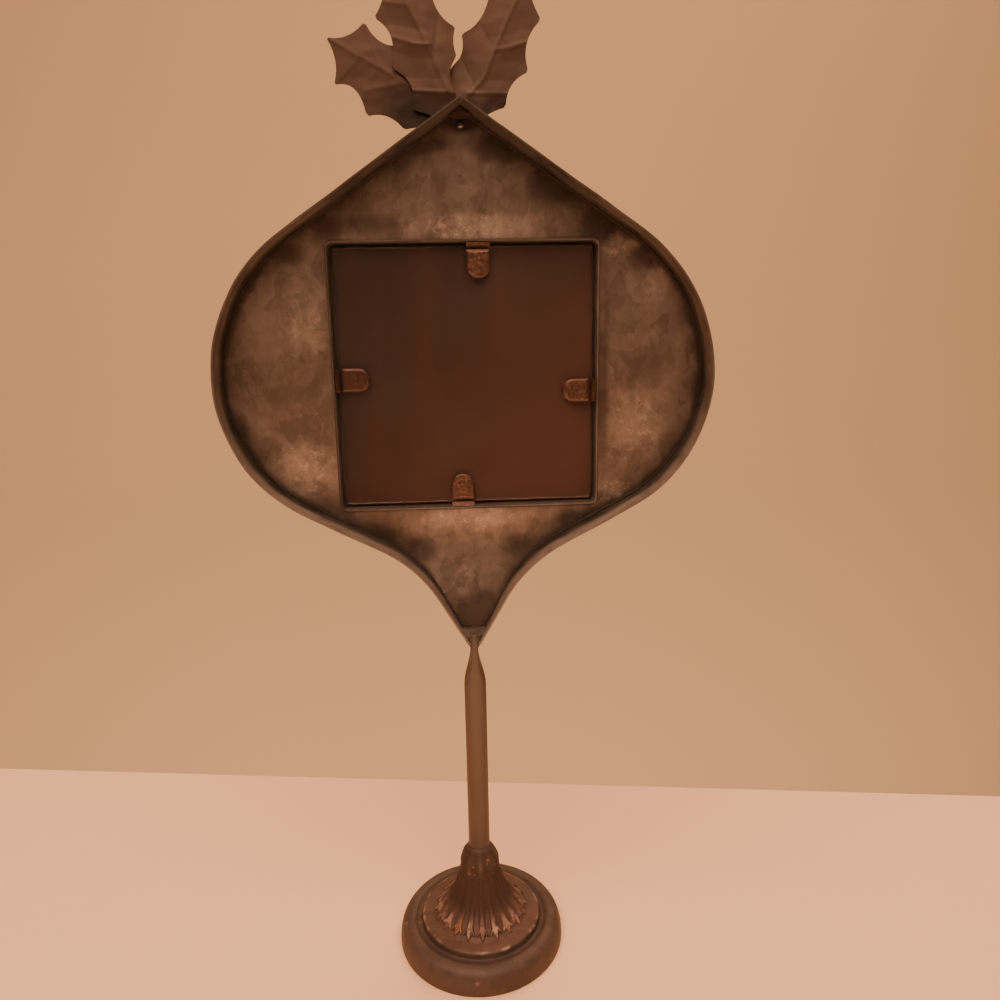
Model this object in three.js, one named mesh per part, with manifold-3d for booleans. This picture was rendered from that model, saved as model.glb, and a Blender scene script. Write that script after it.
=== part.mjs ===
// Ornament-shaped metal picture frame on a pedestal, in millimetres, Z up, front towards -Y.
// The origin is the centre of the base on the surface it stands on.
import * as THREE from "three";
import { mergeVertices } from "three/addons/utils/BufferGeometryUtils.js";
import Module from "manifold-3d";

const wasm = await Module();
wasm.setup();

const degrees = THREE.MathUtils.degToRad;

// Gap that fitted pieces keep from each other.
const FIT = 0.3;

// Cast base, from the stem's socket outwards: walls and widths of its steps.
const COLLAR_LIP = 0.6;
const COLLAR_WALL = 3.5;
const COLUMN_WALL = 4;
const PETAL_SPREAD = 11.8;
const RING_WIDTH = 6.3;
const GROOVE_WIDTH = 2.3;
const GROOVE_SLOPE = 1.2;
const DOME_WIDTH = 6.7;
const FOOT_WIDTH = 5.5;

// Cast base, from the table upwards: how much each step rises above the one before.
const FOOT_SIDE = 2;
const DOME_RISE = 8.7;
const GROOVE_DEPTH = 1.8;
const RING_RISE = 3.5;
const PETAL_RISE = 1.3;
const COLUMN_RISE = 21.2;
const COLLAR_RISE = 5.1;
const COLLAR_TOP_RISE = 6.6;
const FLOOR_THICKNESS = 2.9;
const SOCKET_DEPTH = 25;
const PETAL_COUNT = 20;
const FLUTE_DEPTH = 1.4;
// Pull of the column's flare towards its foot: outwards from the column and up from the petals.
const FLARE_OUT = 2.9;
const FLARE_UP = 4.3;

// Stem tube, with a flat tongue at its top, and the screw that pulls it into the base.
const STEM_DIAMETER = 8.6;
const STEM_WALL = 1;
const STEM_SHOWN = 98.8;
const TONGUE_BORE = 0.8;
const TONGUE_REACH = 4;
const TONGUE_BELOW_NECK = 1.5;
const TONGUE_TAPER = 15;
const TONGUE_FLATNESS = 2.2;
const PLUG_WALL = 1.2;
const PLUG_LENGTH = 14;
const SCREW_POINT = 1;
const SCREW_HEAD_BORDER = 1.8;
const SCREW_HEAD_HEIGHT = 2.4;
const SCREW_SLOT = 1;
const SCREW_SLOT_DEPTH = 1.2;
const WASHER_BORDER = 2.2;
const WASHER_THICKNESS = 1;

// Square tray and the layers in it.
const GLASS_SIZE = 101.6;
const GLASS_PLAY = 1.7;
const GLASS_THICKNESS = 2;
const GLASS_SET_BACK = 3;
const INSERT_THICKNESS = 0.3;
const BOARD_THICKNESS = 2.5;
const LAYER_CORNER = 0.8;
const TRAY_WALL = 0.9;
const TRAY_CORNER = 2.4;
const TRAY_LIP = 0.8;

// Outline of the head round the tray: straight roof, shoulder arc, hip arc, straight waist,
// throat fillet and straight flank. Borders are measured from the opening's edge or corner.
const SIDE_BORDER = 44;
const ROOF_BORDER = 10.6;
const ROOF_SLOPE = degrees(34);
const SHOULDER_RADIUS = 67;
const WAIST_BORDER = 5.3;
const WAIST_SLOPE = degrees(28);
const THROAT_RADIUS = 54;
const FLANK_SLOPE = degrees(60);
const FLANK_LENGTH = 23.3;

// Rim strip, the sheet inside it and the welds.
const RIM_DEPTH = 15;
const RIM_THICKNESS = 0.9;
const PANEL_THICKNESS = 0.8;
const NECK_WELD_HEIGHT = 5;
const NECK_WELD_DIP = 3;
const NECK_WELD_SET_BACK = 2;
const APEX_WELD_HEIGHT = 3;
const APEX_WELD_DEPTH = 5;

// Bend-over tabs, each set off from the middle of its side of the tray.
const TAB_WIDTH = 9.2;
const TAB_LENGTH = 10.8;
const TAB_THICKNESS = 0.8;
const TAB_END_RADIUS = 3.6;
const TAB_BEND_INSET = 2.8;
const TABS = [
  { side: "top", turn: degrees(0), shift: 5.6 },
  { side: "right", turn: degrees(-90), shift: 5.6 },
  { side: "bottom", turn: degrees(180), shift: 2.7 },
  { side: "left", turn: degrees(90), shift: 0.2 },
];

// Holly leaves: sizes of the blade along its midrib and across it, from the blade's base.
const LEAF_THICKNESS = 0.6;
const LEAF_LENGTH = 45;
const LEAF_TANG_HALF_WIDTH = 3.4;
const LEAF_SPINES = [
  { along: 3.5, out: 14 },
  { along: 18.5, out: 15 },
  { along: 35.6, out: 11.7 },
];
// Control points of the scalloped edge below, between and beyond the spines.
const LEAF_DIPS = [
  { along: -3, out: 6.3 },
  { along: 10, out: 7.8 },
  { along: 23, out: 6.5 },
  { along: 36.3, out: 3.8 },
];
// Each leaf's lean to the left, where its blade starts beside and beyond the rivet, and how many
// spines are cut away from the foot of its right edge to leave its neighbour in sight.
const LEAVES = [
  { name: "leaf_middle", lean: degrees(26), beside: 1.3, beyond: 12.8, trimmed: 1 },
  { name: "leaf_left", lean: degrees(62), beside: 4.2, beyond: 12, trimmed: 0 },
  { name: "leaf_right", lean: degrees(-29.5), beside: -2.1, beyond: 12, trimmed: 0 },
];
const RIVET_RADIUS = 1;
const RIVET_HEAD_BORDER = 0.7;
const RIVET_HEAD_HEIGHT = 0.8;
const RIVET_BELOW_WELD = 2.2;

// Smoothness of round stretches.
const ROUND_SIDES = 24;
const ARC_STEPS = 8;
const CURVE_STEPS = 5;
const CORNER_STEPS = 2;
const TAPER_STEPS = 6;

function along(angle, length = 1) {
  return new THREE.Vector2(Math.cos(angle), Math.sin(angle)).multiplyScalar(length);
}

// Radii of the base, the stem and the screw.
const stemRadius = STEM_DIAMETER / 2;
const boreRadius = stemRadius - STEM_WALL;
const socketRadius = stemRadius + FIT;
const collarTopRadius = socketRadius + COLLAR_LIP;
const collarRadius = socketRadius + COLLAR_WALL;
const columnRadius = socketRadius + COLUMN_WALL;
const petalRadius = columnRadius + PETAL_SPREAD;
const ringRadius = petalRadius + RING_WIDTH;
const grooveRadius = ringRadius + GROOVE_WIDTH;
const domeRadius = grooveRadius + GROOVE_SLOPE;
const footRadius = domeRadius + DOME_WIDTH;
const undersideRadius = footRadius - FOOT_WIDTH;
const plugRadius = boreRadius - FIT;
const screwRadius = plugRadius - PLUG_WALL - FIT;
const screwHoleRadius = screwRadius + FIT;
const screwHeadRadius = screwRadius + SCREW_HEAD_BORDER;
const washerRadius = screwHeadRadius + WASHER_BORDER;

// Heights of the base and the stem above the table.
const domeTop = FOOT_SIDE + DOME_RISE;
const grooveTop = domeTop - GROOVE_DEPTH;
const ringTop = grooveTop + RING_RISE;
const petalTop = ringTop + PETAL_RISE;
const columnTop = petalTop + COLUMN_RISE;
const collarMiddle = columnTop + COLLAR_RISE;
const collarTop = collarMiddle + COLLAR_TOP_RISE;
const socketFloor = collarTop - SOCKET_DEPTH;
const undersideTop = grooveTop - FLOOR_THICKNESS;
const stemFoot = socketFloor + FIT;
const plugTop = stemFoot + PLUG_LENGTH;
const washerTop = undersideTop - FIT;
const washerFoot = washerTop - WASHER_THICKNESS;
const screwHeadTop = washerFoot - FIT;
const screwFoot = screwHeadTop - SCREW_HEAD_HEIGHT;
const neckHeight = collarTop + STEM_SHOWN;
const tongueTop = neckHeight + TONGUE_REACH;

// The flat tongue keeps the tube's wall and girth.
const tongueThickness = TONGUE_BORE + 2 * STEM_WALL;
const tongueWidth = (Math.PI * STEM_DIAMETER - (Math.PI - 2) * tongueThickness) / 2;

// The head's own frame has its origin in the middle of the opening, x to the right, y up and
// z to the front. The roof and waist lines lie at these reaches from the origin.
const opening = GLASS_SIZE + 2 * GLASS_PLAY;
const halfWidth = opening / 2 + SIDE_BORDER;
const roofNormal = along(Math.PI / 2 - ROOF_SLOPE);
const waistNormal = along(WAIST_SLOPE - Math.PI / 2);
const roofReach = (opening / 2) * (roofNormal.x + roofNormal.y) + ROOF_BORDER;
const waistReach = (opening / 2) * (waistNormal.x - waistNormal.y) + WAIST_BORDER;
const apexLevel = roofReach / roofNormal.y;

// Level of the widest place, where the shoulder arc off the roof meets the hip arc off the waist.
const shoulderRun = halfWidth * roofNormal.x + SHOULDER_RADIUS * (1 - roofNormal.x);
const widestLevel = (roofReach - shoulderRun) / roofNormal.y;
const hipRun = halfWidth * waistNormal.x + widestLevel * waistNormal.y;
const hipRadius = (waistReach - hipRun) / (1 - waistNormal.x);

// The rim's ends leave room for the tongue, and their flanks meet the waist at a rounded corner.
const neckHalfGap = tongueThickness / 2 + FIT + RIM_THICKNESS / Math.sin(FLANK_SLOPE);
const throatTangent = THROAT_RADIUS * Math.tan((FLANK_SLOPE - WAIST_SLOPE) / 2);
const flank = along(FLANK_SLOPE, FLANK_LENGTH + throatTangent);
const throatX = neckHalfGap + flank.x;
const throatCorner = new THREE.Vector2(throatX, (waistReach - throatX * waistNormal.x) / waistNormal.y);
const neckLevel = throatCorner.y - flank.y;

// Levels from the back of the head to its front.
const rimBack = -RIM_DEPTH / 2;
const rimFront = RIM_DEPTH / 2;
const panelBack = rimBack + FIT;
const panelFront = panelBack + PANEL_THICKNESS;
const lipFront = panelFront + TRAY_LIP;
const glassFront = lipFront - GLASS_SET_BACK;
const insertFront = glassFront - GLASS_THICKNESS - FIT;
const boardFront = insertFront - INSERT_THICKNESS - FIT;
const trayFloor = boardFront - BOARD_THICKNESS - FIT;
const trayBack = trayFloor - TRAY_WALL;
const tabBack = glassFront + FIT;
const tabFront = tabBack + TAB_THICKNESS;
const tabBend = opening / 2 - TAB_BEND_INSET;

// The solder fills the corner under the point, and the rivet sits below it.
const apexWeldTop = apexLevel - (RIM_THICKNESS + FIT) / Math.cos(ROOF_SLOPE);
const apexWeldFoot = apexWeldTop - APEX_WELD_HEIGHT;
const rivetLevel = apexWeldFoot - RIVET_BELOW_WELD;

// Front of the leaf at a place in the stack behind the rim, counted from 0.
function leafFront(place) {
  return rimBack - FIT - place * (LEAF_THICKNESS + FIT);
}

const finish = {
  castIron: { color: 0x4a3226, roughness: 0.6, metalness: 0.8 },
  stemSteel: { color: 0x5c4334, roughness: 0.5, metalness: 0.8 },
  rimSteel: { color: 0x5a463a, roughness: 0.45, metalness: 0.9 },
  galvanised: { color: 0x8a7766, roughness: 0.5, metalness: 0.9 },
  solder: { color: 0x3a302a, roughness: 0.6, metalness: 0.7 },
  copper: { color: 0x9a6344, roughness: 0.45, metalness: 0.9 },
  leafSteel: { color: 0x6e5444, roughness: 0.5, metalness: 0.8 },
  zinc: { color: 0x9a9c9e, roughness: 0.35, metalness: 1 },
  glass: { color: 0x40281c, roughness: 0.08, metalness: 0 },
  paper: { color: 0x4a2e20, roughness: 0.9, metalness: 0 },
  hardboard: { color: 0x6b4a30, roughness: 0.85, metalness: 0 },
};

function piece(name, geometry, look) {
  const mesh = new THREE.Mesh(geometry, new THREE.MeshStandardMaterial(look));
  mesh.name = name;
  return mesh;
}

function solid(geometry) {
  const bare = geometry.index ? geometry.toNonIndexed() : geometry.clone();
  bare.deleteAttribute("normal");
  bare.deleteAttribute("uv");
  const merged = mergeVertices(bare);
  const mesh = new wasm.Mesh({
    numProp: 3,
    vertProperties: merged.attributes.position.array,
    triVerts: new Uint32Array(merged.index.array),
  });
  return new wasm.Manifold(mesh);
}

function surface(manifold) {
  const mesh = manifold.getMesh();
  const places = new Float32Array(mesh.vertProperties);
  const geometry = new THREE.BufferGeometry();
  geometry.setAttribute("position", new THREE.BufferAttribute(places, 3));
  geometry.setIndex(new THREE.BufferAttribute(new Uint32Array(mesh.triVerts), 1));
  geometry.computeVertexNormals();
  return geometry;
}

function cut(geometry, tool) {
  return surface(solid(geometry).subtract(solid(tool)));
}

// A shape in the XY plane, thickened from one level of z to another.
function plate(shape, back, front, steps = CORNER_STEPS) {
  const options = { depth: front - back, bevelEnabled: false, curveSegments: steps };
  return new THREE.ExtrudeGeometry(shape, options).translate(0, 0, back);
}

// A profile of (y, z) points, thickened along x about its middle.
function bar(shape, width) {
  const toProfile = new THREE.Matrix4().makeBasis(
    new THREE.Vector3(0, 1, 0),
    new THREE.Vector3(0, 0, 1),
    new THREE.Vector3(1, 0, 0),
  );
  return plate(shape, -width / 2, width / 2).applyMatrix4(toProfile);
}

// A profile of [radius, height] points, turned about the Z axis.
function turned(points, sides = ROUND_SIDES) {
  const profile = points.map(([radius, height]) => new THREE.Vector2(radius, height));
  return new THREE.LatheGeometry(profile, sides).rotateX(Math.PI / 2);
}

// A tube between two radii and two heights about the Z axis.
function sleeve(inner, outer, foot, top) {
  return turned([
    [inner, foot],
    [outer, foot],
    [outer, top],
    [inner, top],
    [inner, foot],
  ]);
}

function polygon(...points) {
  return new THREE.Shape(points.map(([x, y]) => new THREE.Vector2(x, y)));
}

function roundedSquare(size, radius) {
  const inner = size / 2 - radius;
  const shape = new THREE.Shape();
  shape.absarc(inner, inner, radius, 0, degrees(90));
  shape.absarc(-inner, inner, radius, degrees(90), degrees(180));
  shape.absarc(-inner, -inner, radius, degrees(180), degrees(270));
  shape.absarc(inner, -inner, radius, degrees(270), degrees(360));
  return shape;
}

function mirrored(points) {
  return points.map((p) => new THREE.Vector2(-p.x, p.y));
}

// Distance from the axis to the flank at a height above the neck, inside the rim's outer face.
function flankX(height, inset) {
  return neckHalfGap + height / Math.tan(FLANK_SLOPE) - inset / Math.sin(FLANK_SLOPE);
}

// Right half of the head's outline, drawn inside the rim's outer face by the given inset.
// The points run from the flank at the given height above the neck up to the point on the axis.
function halfOutline(inset, foot) {
  const quarter = Math.PI / 2;
  const throat = throatCorner
    .clone()
    .add(along(WAIST_SLOPE, throatTangent))
    .addScaledVector(waistNormal, THROAT_RADIUS);
  const throatArc = THROAT_RADIUS + inset;
  const throatStart = FLANK_SLOPE + quarter;
  const flankEnd = along(throatStart, throatArc).add(throat);
  const path = new THREE.Path();
  path.moveTo(flankX(foot, inset), neckLevel + foot);
  path.lineTo(flankEnd.x, flankEnd.y);
  path.absarc(throat.x, throat.y, throatArc, throatStart, WAIST_SLOPE + quarter, true);
  path.absarc(halfWidth - hipRadius, widestLevel, hipRadius - inset, WAIST_SLOPE - quarter, 0);
  path.absarc(
    halfWidth - SHOULDER_RADIUS,
    widestLevel,
    SHOULDER_RADIUS - inset,
    0,
    quarter - ROOF_SLOPE,
  );
  path.lineTo(0, apexLevel - inset / Math.cos(ROOF_SLOPE));
  return path.getPoints(ARC_STEPS);
}

function baseCasting() {
  const outside = new THREE.Path();
  outside.moveTo(undersideRadius, 0);
  outside.lineTo(footRadius, 0);
  outside.lineTo(footRadius, FOOT_SIDE);
  outside.quadraticCurveTo(footRadius, domeTop, domeRadius, domeTop);
  outside.lineTo(grooveRadius, grooveTop);
  outside.lineTo(ringRadius, grooveTop);
  outside.lineTo(ringRadius, ringTop);
  outside.lineTo(petalRadius, ringTop);
  outside.lineTo(petalRadius, petalTop);
  outside.quadraticCurveTo(columnRadius + FLARE_OUT, petalTop + FLARE_UP, columnRadius, columnTop);
  outside.lineTo(collarRadius, collarMiddle);
  outside.quadraticCurveTo(collarRadius, collarMiddle + COLLAR_TOP_RISE / 2, collarTopRadius, collarTop);
  outside.lineTo(socketRadius, collarTop);
  outside.lineTo(socketRadius, socketFloor);
  outside.lineTo(screwHoleRadius, socketFloor);
  outside.lineTo(screwHoleRadius, undersideTop);
  outside.lineTo(undersideRadius, undersideTop);
  outside.lineTo(undersideRadius, 0);

  // Flutes: each petal is a ridge on the flared foot of the column, fading out towards its waist.
  const geometry = new THREE.LatheGeometry(outside.getPoints(CURVE_STEPS), 2 * PETAL_COUNT);
  const place = geometry.attributes.position;
  for (let i = 0; i < place.count; i += 1) {
    const radius = Math.hypot(place.getX(i), place.getZ(i));
    const level = place.getY(i);
    const onFlare = radius > columnRadius && radius < petalRadius + FIT;
    if (onFlare && level > ringTop - FIT && level < columnTop) {
      const angle = Math.atan2(place.getX(i), place.getZ(i));
      const ridge = (Math.cos(PETAL_COUNT * angle) - 1) / 2;
      const fade = (radius - columnRadius) / PETAL_SPREAD;
      const scale = 1 + (FLUTE_DEPTH * ridge * fade) / radius;
      place.setXYZ(i, place.getX(i) * scale, level, place.getZ(i) * scale);
    }
  }
  return geometry.rotateX(Math.PI / 2);
}

// A round tube whose top is squeezed flat: thin along x, wide along y.
function stemTube() {
  const taperTop = neckHeight - TONGUE_BELOW_NECK;
  const taperFoot = taperTop - TONGUE_TAPER;
  const levels = [stemFoot];
  for (let i = 0; i <= TAPER_STEPS; i += 1) {
    levels.push(THREE.MathUtils.lerp(taperFoot, taperTop, i / TAPER_STEPS));
  }
  levels.push(tongueTop);
  const profile = levels.map((level) => new THREE.Vector2(stemRadius, level));
  profile.push(...levels.reverse().map((level) => new THREE.Vector2(boreRadius, level)));
  profile.push(profile[0].clone());

  const geometry = new THREE.LatheGeometry(profile, ROUND_SIDES);
  const place = geometry.attributes.position;
  for (let i = 0; i < place.count; i += 1) {
    const radius = Math.hypot(place.getX(i), place.getZ(i));
    const inset = radius > stemRadius - STEM_WALL / 2 ? 0 : STEM_WALL;
    const across = THREE.MathUtils.clamp((place.getX(i) / radius) * TONGUE_FLATNESS, -1, 1);
    const flatX = (tongueThickness / 2 - inset) * across;
    const flatZ = ((tongueWidth / 2 - inset) * place.getZ(i)) / radius;
    const squeeze = THREE.MathUtils.smoothstep(place.getY(i), taperFoot, taperTop);
    place.setX(i, THREE.MathUtils.lerp(place.getX(i), flatX, squeeze));
    place.setZ(i, THREE.MathUtils.lerp(place.getZ(i), flatZ, squeeze));
  }
  return geometry.rotateX(Math.PI / 2);
}

function baseScrew() {
  const body = turned([
    [0, screwFoot],
    [screwHeadRadius, screwFoot],
    [screwHeadRadius, screwHeadTop],
    [screwRadius, screwHeadTop],
    [screwRadius, plugTop - SCREW_POINT],
    [screwRadius / 2, plugTop],
    [0, plugTop],
  ]);
  const slotLength = 2 * (screwHeadRadius + FIT);
  const slot = new THREE.BoxGeometry(slotLength, SCREW_SLOT, 2 * SCREW_SLOT_DEPTH);
  return cut(body, slot.translate(0, 0, screwFoot));
}

// One bent strip of the rim, from the neck round to the point: the right one for side 1 and
// the left one for side -1.
function rimStrip(side) {
  const seam = FIT / 2;
  const outer = halfOutline(0, 0);
  const inner = halfOutline(RIM_THICKNESS, 0);
  [outer, inner].forEach((points) => {
    const end = points[points.length - 1];
    end.set(seam, end.y - seam * Math.tan(ROOF_SLOPE));
  });
  const points = [...outer, ...inner.reverse()];
  const outline = side > 0 ? points : mirrored(points).reverse();
  return plate(new THREE.Shape(outline), rimBack, rimFront);
}

function rivetHole(level) {
  const hole = new THREE.Path();
  hole.absarc(0, level, RIVET_RADIUS + FIT, 0, 2 * Math.PI);
  return hole;
}

function frontPanel() {
  const half = halfOutline(RIM_THICKNESS + FIT, TONGUE_REACH + FIT);
  const shape = new THREE.Shape([...half, ...mirrored(half).reverse().slice(1)]);
  const border = TRAY_WALL + FIT;
  shape.holes.push(roundedSquare(opening + 2 * border, TRAY_CORNER + border));
  shape.holes.push(rivetHole(rivetLevel));
  return plate(shape, panelBack, panelFront, CURVE_STEPS);
}

function photoTray() {
  const outside = roundedSquare(opening + 2 * TRAY_WALL, TRAY_CORNER + TRAY_WALL);
  const inside = roundedSquare(opening, TRAY_CORNER);
  return cut(plate(outside, trayBack, lipFront), plate(inside, trayFloor, lipFront + FIT));
}

// A square sheet that lies in the tray, with its front at the given level.
function layer(front, thickness) {
  return plate(roundedSquare(GLASS_SIZE, LAYER_CORNER), front - thickness, front);
}

// The tab's fixed end: a slanted strip from the tray wall, behind the lip, down to the bend line.
function tabRoot() {
  const wall = opening / 2 - FIT;
  const bend = tabBend + TAB_THICKNESS / 2 + FIT;
  const high = lipFront - FIT;
  const profile = polygon(
    [wall, high - TAB_THICKNESS],
    [wall, high],
    [bend, tabFront],
    [bend, tabBack],
  );
  return bar(profile, TAB_WIDTH);
}

// The tab's leaf, from its bend line inwards over the glass.
function tabLeaf() {
  const half = TAB_WIDTH / 2;
  const inner = half - TAB_END_RADIUS;
  const end = TAB_END_RADIUS - TAB_LENGTH;
  const shape = new THREE.Shape();
  shape.moveTo(half, 0);
  shape.lineTo(-half, 0);
  shape.absarc(-inner, end, TAB_END_RADIUS, degrees(180), degrees(270));
  shape.absarc(inner, end, TAB_END_RADIUS, degrees(270), degrees(360));
  return plate(shape, -TAB_THICKNESS / 2, TAB_THICKNESS / 2, CURVE_STEPS);
}

// A holly leaf with its midrib along y, and a tang that ends round the rivet at its origin.
function hollyLeaf({ beside, beyond, trimmed }) {
  const tip = { along: LEAF_LENGTH, out: 0 };
  const corners = [...LEAF_SPINES, tip];
  const [foot] = LEAF_DIPS;
  const shape = new THREE.Shape();
  const curve = (side, dip, end) => {
    const control = [beside + side * dip.out, beyond + dip.along];
    shape.quadraticCurveTo(...control, beside + side * end.out, beyond + end.along);
  };
  shape.moveTo(LEAF_TANG_HALF_WIDTH, 0);
  for (let i = trimmed; i < corners.length; i += 1) {
    curve(1, LEAF_DIPS[i], corners[i]);
  }
  for (let i = LEAF_DIPS.length - 1; i > 0; i -= 1) {
    curve(-1, LEAF_DIPS[i], corners[i - 1]);
  }
  shape.quadraticCurveTo(beside - foot.out, beyond + foot.along, -LEAF_TANG_HALF_WIDTH, 0);
  shape.absarc(0, 0, LEAF_TANG_HALF_WIDTH, Math.PI, 2 * Math.PI);
  shape.holes.push(rivetHole(0));
  return plate(shape, -LEAF_THICKNESS, 0, CURVE_STEPS);
}

// The rivet through the panel and the leaves' tangs, with its axis along z.
function leafRivet() {
  const headBack = panelFront + FIT;
  const headFront = headBack + RIVET_HEAD_HEIGHT;
  const tailFront = leafFront(LEAVES.length);
  const tailBack = tailFront - RIVET_HEAD_HEIGHT;
  const headRadius = RIVET_RADIUS + RIVET_HEAD_BORDER;
  const profile = new THREE.Path();
  profile.moveTo(0, tailBack);
  profile.lineTo(headRadius, tailBack);
  profile.lineTo(headRadius, tailFront);
  profile.lineTo(RIVET_RADIUS, tailFront);
  profile.lineTo(RIVET_RADIUS, headBack);
  profile.lineTo(headRadius, headBack);
  profile.quadraticCurveTo(headRadius, headFront, 0, headFront);
  return turned(profile.getPoints(CURVE_STEPS).map(({ x, y }) => [x, y]));
}

// Weld that fills the V between the rim's ends, above the stem's tongue.
function neckWeld() {
  const inset = RIM_THICKNESS + FIT;
  const foot = TONGUE_REACH + FIT;
  const top = foot + NECK_WELD_HEIGHT;
  const footX = flankX(foot, inset);
  const topX = flankX(top, inset);
  const shape = new THREE.Shape();
  shape.moveTo(-footX, neckLevel + foot);
  shape.lineTo(footX, neckLevel + foot);
  shape.lineTo(topX, neckLevel + top);
  shape.quadraticCurveTo(0, neckLevel + top - NECK_WELD_DIP, -topX, neckLevel + top);
  return plate(shape, panelFront + FIT, rimFront - NECK_WELD_SET_BACK, CURVE_STEPS);
}

// Solder in the corner under the point, between the two strips.
function apexWeld() {
  const half = APEX_WELD_HEIGHT / Math.tan(ROOF_SLOPE);
  const back = panelFront + FIT;
  const shape = polygon([-half, apexWeldFoot], [half, apexWeldFoot], [0, apexWeldTop]);
  return plate(shape, back, back + APEX_WELD_DEPTH);
}

const frame = new THREE.Group();
frame.add(piece("base_casting", baseCasting(), finish.castIron));
const washer = sleeve(screwHoleRadius, washerRadius, washerFoot, washerTop);
frame.add(piece("base_washer", washer, finish.zinc));
frame.add(piece("base_screw", baseScrew(), finish.zinc));
const plug = sleeve(screwHoleRadius, plugRadius, stemFoot, plugTop);
frame.add(piece("stem_plug", plug, finish.zinc));
frame.add(piece("stem_tube", stemTube(), finish.stemSteel));

const head = new THREE.Group();
head.position.z = neckHeight - neckLevel;
head.rotation.x = Math.PI / 2;
frame.add(head);
head.add(piece("rim_left", rimStrip(-1), finish.rimSteel));
head.add(piece("rim_right", rimStrip(1), finish.rimSteel));
head.add(piece("neck_weld", neckWeld(), finish.solder));
head.add(piece("apex_weld", apexWeld(), finish.solder));
head.add(piece("front_panel", frontPanel(), finish.galvanised));
head.add(piece("photo_tray", photoTray(), finish.rimSteel));
head.add(piece("glass_pane", layer(glassFront, GLASS_THICKNESS), finish.glass));
head.add(piece("photo_insert", layer(insertFront, INSERT_THICKNESS), finish.paper));
head.add(piece("backing_board", layer(boardFront, BOARD_THICKNESS), finish.hardboard));

TABS.forEach(({ side, turn, shift }) => {
  const tab = new THREE.Group();
  tab.rotation.z = turn;
  head.add(tab);
  const root = piece(`tab_root_${side}`, tabRoot(), finish.copper);
  root.position.x = shift;
  const leaf = piece(`tab_${side}`, tabLeaf(), finish.copper);
  leaf.position.set(shift, tabBend, (tabBack + tabFront) / 2);
  tab.add(root, leaf);
});

const spray = new THREE.Group();
spray.position.y = rivetLevel;
head.add(spray);
spray.add(piece("leaf_rivet", leafRivet(), finish.zinc));
LEAVES.forEach((leaf, i) => {
  const blade = piece(leaf.name, hollyLeaf(leaf), finish.leafSteel);
  blade.rotation.z = leaf.lean;
  blade.position.z = leafFront(i);
  spray.add(blade);
});

export default frame;
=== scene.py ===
"""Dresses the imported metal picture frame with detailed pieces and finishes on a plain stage.

All sizes are in metres in the frame's own axes: X to the right, -Y to the front, Z up.
"""

import math

import bmesh
import bpy
from mathutils import Matrix, Vector, noise
from mathutils.geometry import intersect_point_line


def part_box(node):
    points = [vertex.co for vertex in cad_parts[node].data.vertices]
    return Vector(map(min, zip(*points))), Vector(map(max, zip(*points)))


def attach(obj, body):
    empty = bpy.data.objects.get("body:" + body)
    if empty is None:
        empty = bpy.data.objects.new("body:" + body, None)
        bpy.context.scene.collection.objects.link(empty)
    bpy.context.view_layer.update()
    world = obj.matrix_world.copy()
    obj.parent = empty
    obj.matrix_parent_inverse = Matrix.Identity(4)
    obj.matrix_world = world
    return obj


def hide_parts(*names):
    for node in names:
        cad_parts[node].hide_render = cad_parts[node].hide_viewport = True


bl_info = {
    "name": "Metal picture frame",
    "version": (1, 0, 0),
    "blender": (4, 5, 0),
    "location": "3D View > Sidebar > Picture frame",
    "description": "Dresses the packed picture frame with detailed pieces and finishes",
    "category": "Object",
}

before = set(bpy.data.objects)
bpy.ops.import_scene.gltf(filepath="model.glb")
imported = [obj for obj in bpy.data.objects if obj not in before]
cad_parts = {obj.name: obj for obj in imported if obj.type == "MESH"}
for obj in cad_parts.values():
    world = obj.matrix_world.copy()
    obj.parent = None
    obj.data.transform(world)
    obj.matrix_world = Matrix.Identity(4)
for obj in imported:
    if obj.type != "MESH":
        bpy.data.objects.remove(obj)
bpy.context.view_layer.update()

MM = 0.001
TOUCH = 1e-6
QUARTER = math.pi / 2
FULL_TURN = 4 * QUARTER
RIGHT = Vector((1, 0, 0))
FRONT = Vector((0, -1, 0))
UP = Vector((0, 0, 1))

GLASS_LOW, GLASS_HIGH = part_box("glass_pane")
TRAY_LOW, TRAY_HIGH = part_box("photo_tray")
PANEL_LOW, PANEL_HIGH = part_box("front_panel")
RIM_LOW, RIM_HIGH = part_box("rim_right")
BASE_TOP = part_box("base_casting")[1].z
STEM_LOW, STEM_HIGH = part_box("stem_tube")
RIVET_LOW, RIVET_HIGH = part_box("leaf_rivet")
WELD_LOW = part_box("neck_weld")[0]
HEAD_LEVEL = (GLASS_LOW.z + GLASS_HIGH.z) / 2
RIVET_LEVEL = (RIVET_LOW.z + RIVET_HIGH.z) / 2


# ---- values a user would change ----


def number(label, note, default, **more):
    """A setting that isn't below 0."""
    return bpy.props.FloatProperty(name=label, description=note, default=default, min=0, **more)


def length(label, note, default):
    """A length setting, given in millimetres."""
    return number(label, note, default * MM, precision=5, unit="LENGTH")


def angle(label, note, default):
    """An angle setting, given in degrees."""
    return number(label, note, math.radians(default), subtype="ANGLE")


def power(label, note, default):
    """A lamp's power setting, given in watts."""
    return number(label, note, default, unit="POWER")


def colour(label, note, default):
    """A colour setting, given as it looks on a screen, from 0 to 255."""
    return bpy.props.FloatVectorProperty(
        name=label,
        description=note,
        default=[to_linear(v / 255) for v in default],
        size=3,
        min=0,
        max=1,
        subtype="COLOR",
    )


def to_linear(value):
    """Light for a screen value between 0 and 1."""
    return value / 12.92 if value <= 0.04045 else ((value + 0.055) / 1.055) ** 2.4


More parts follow.
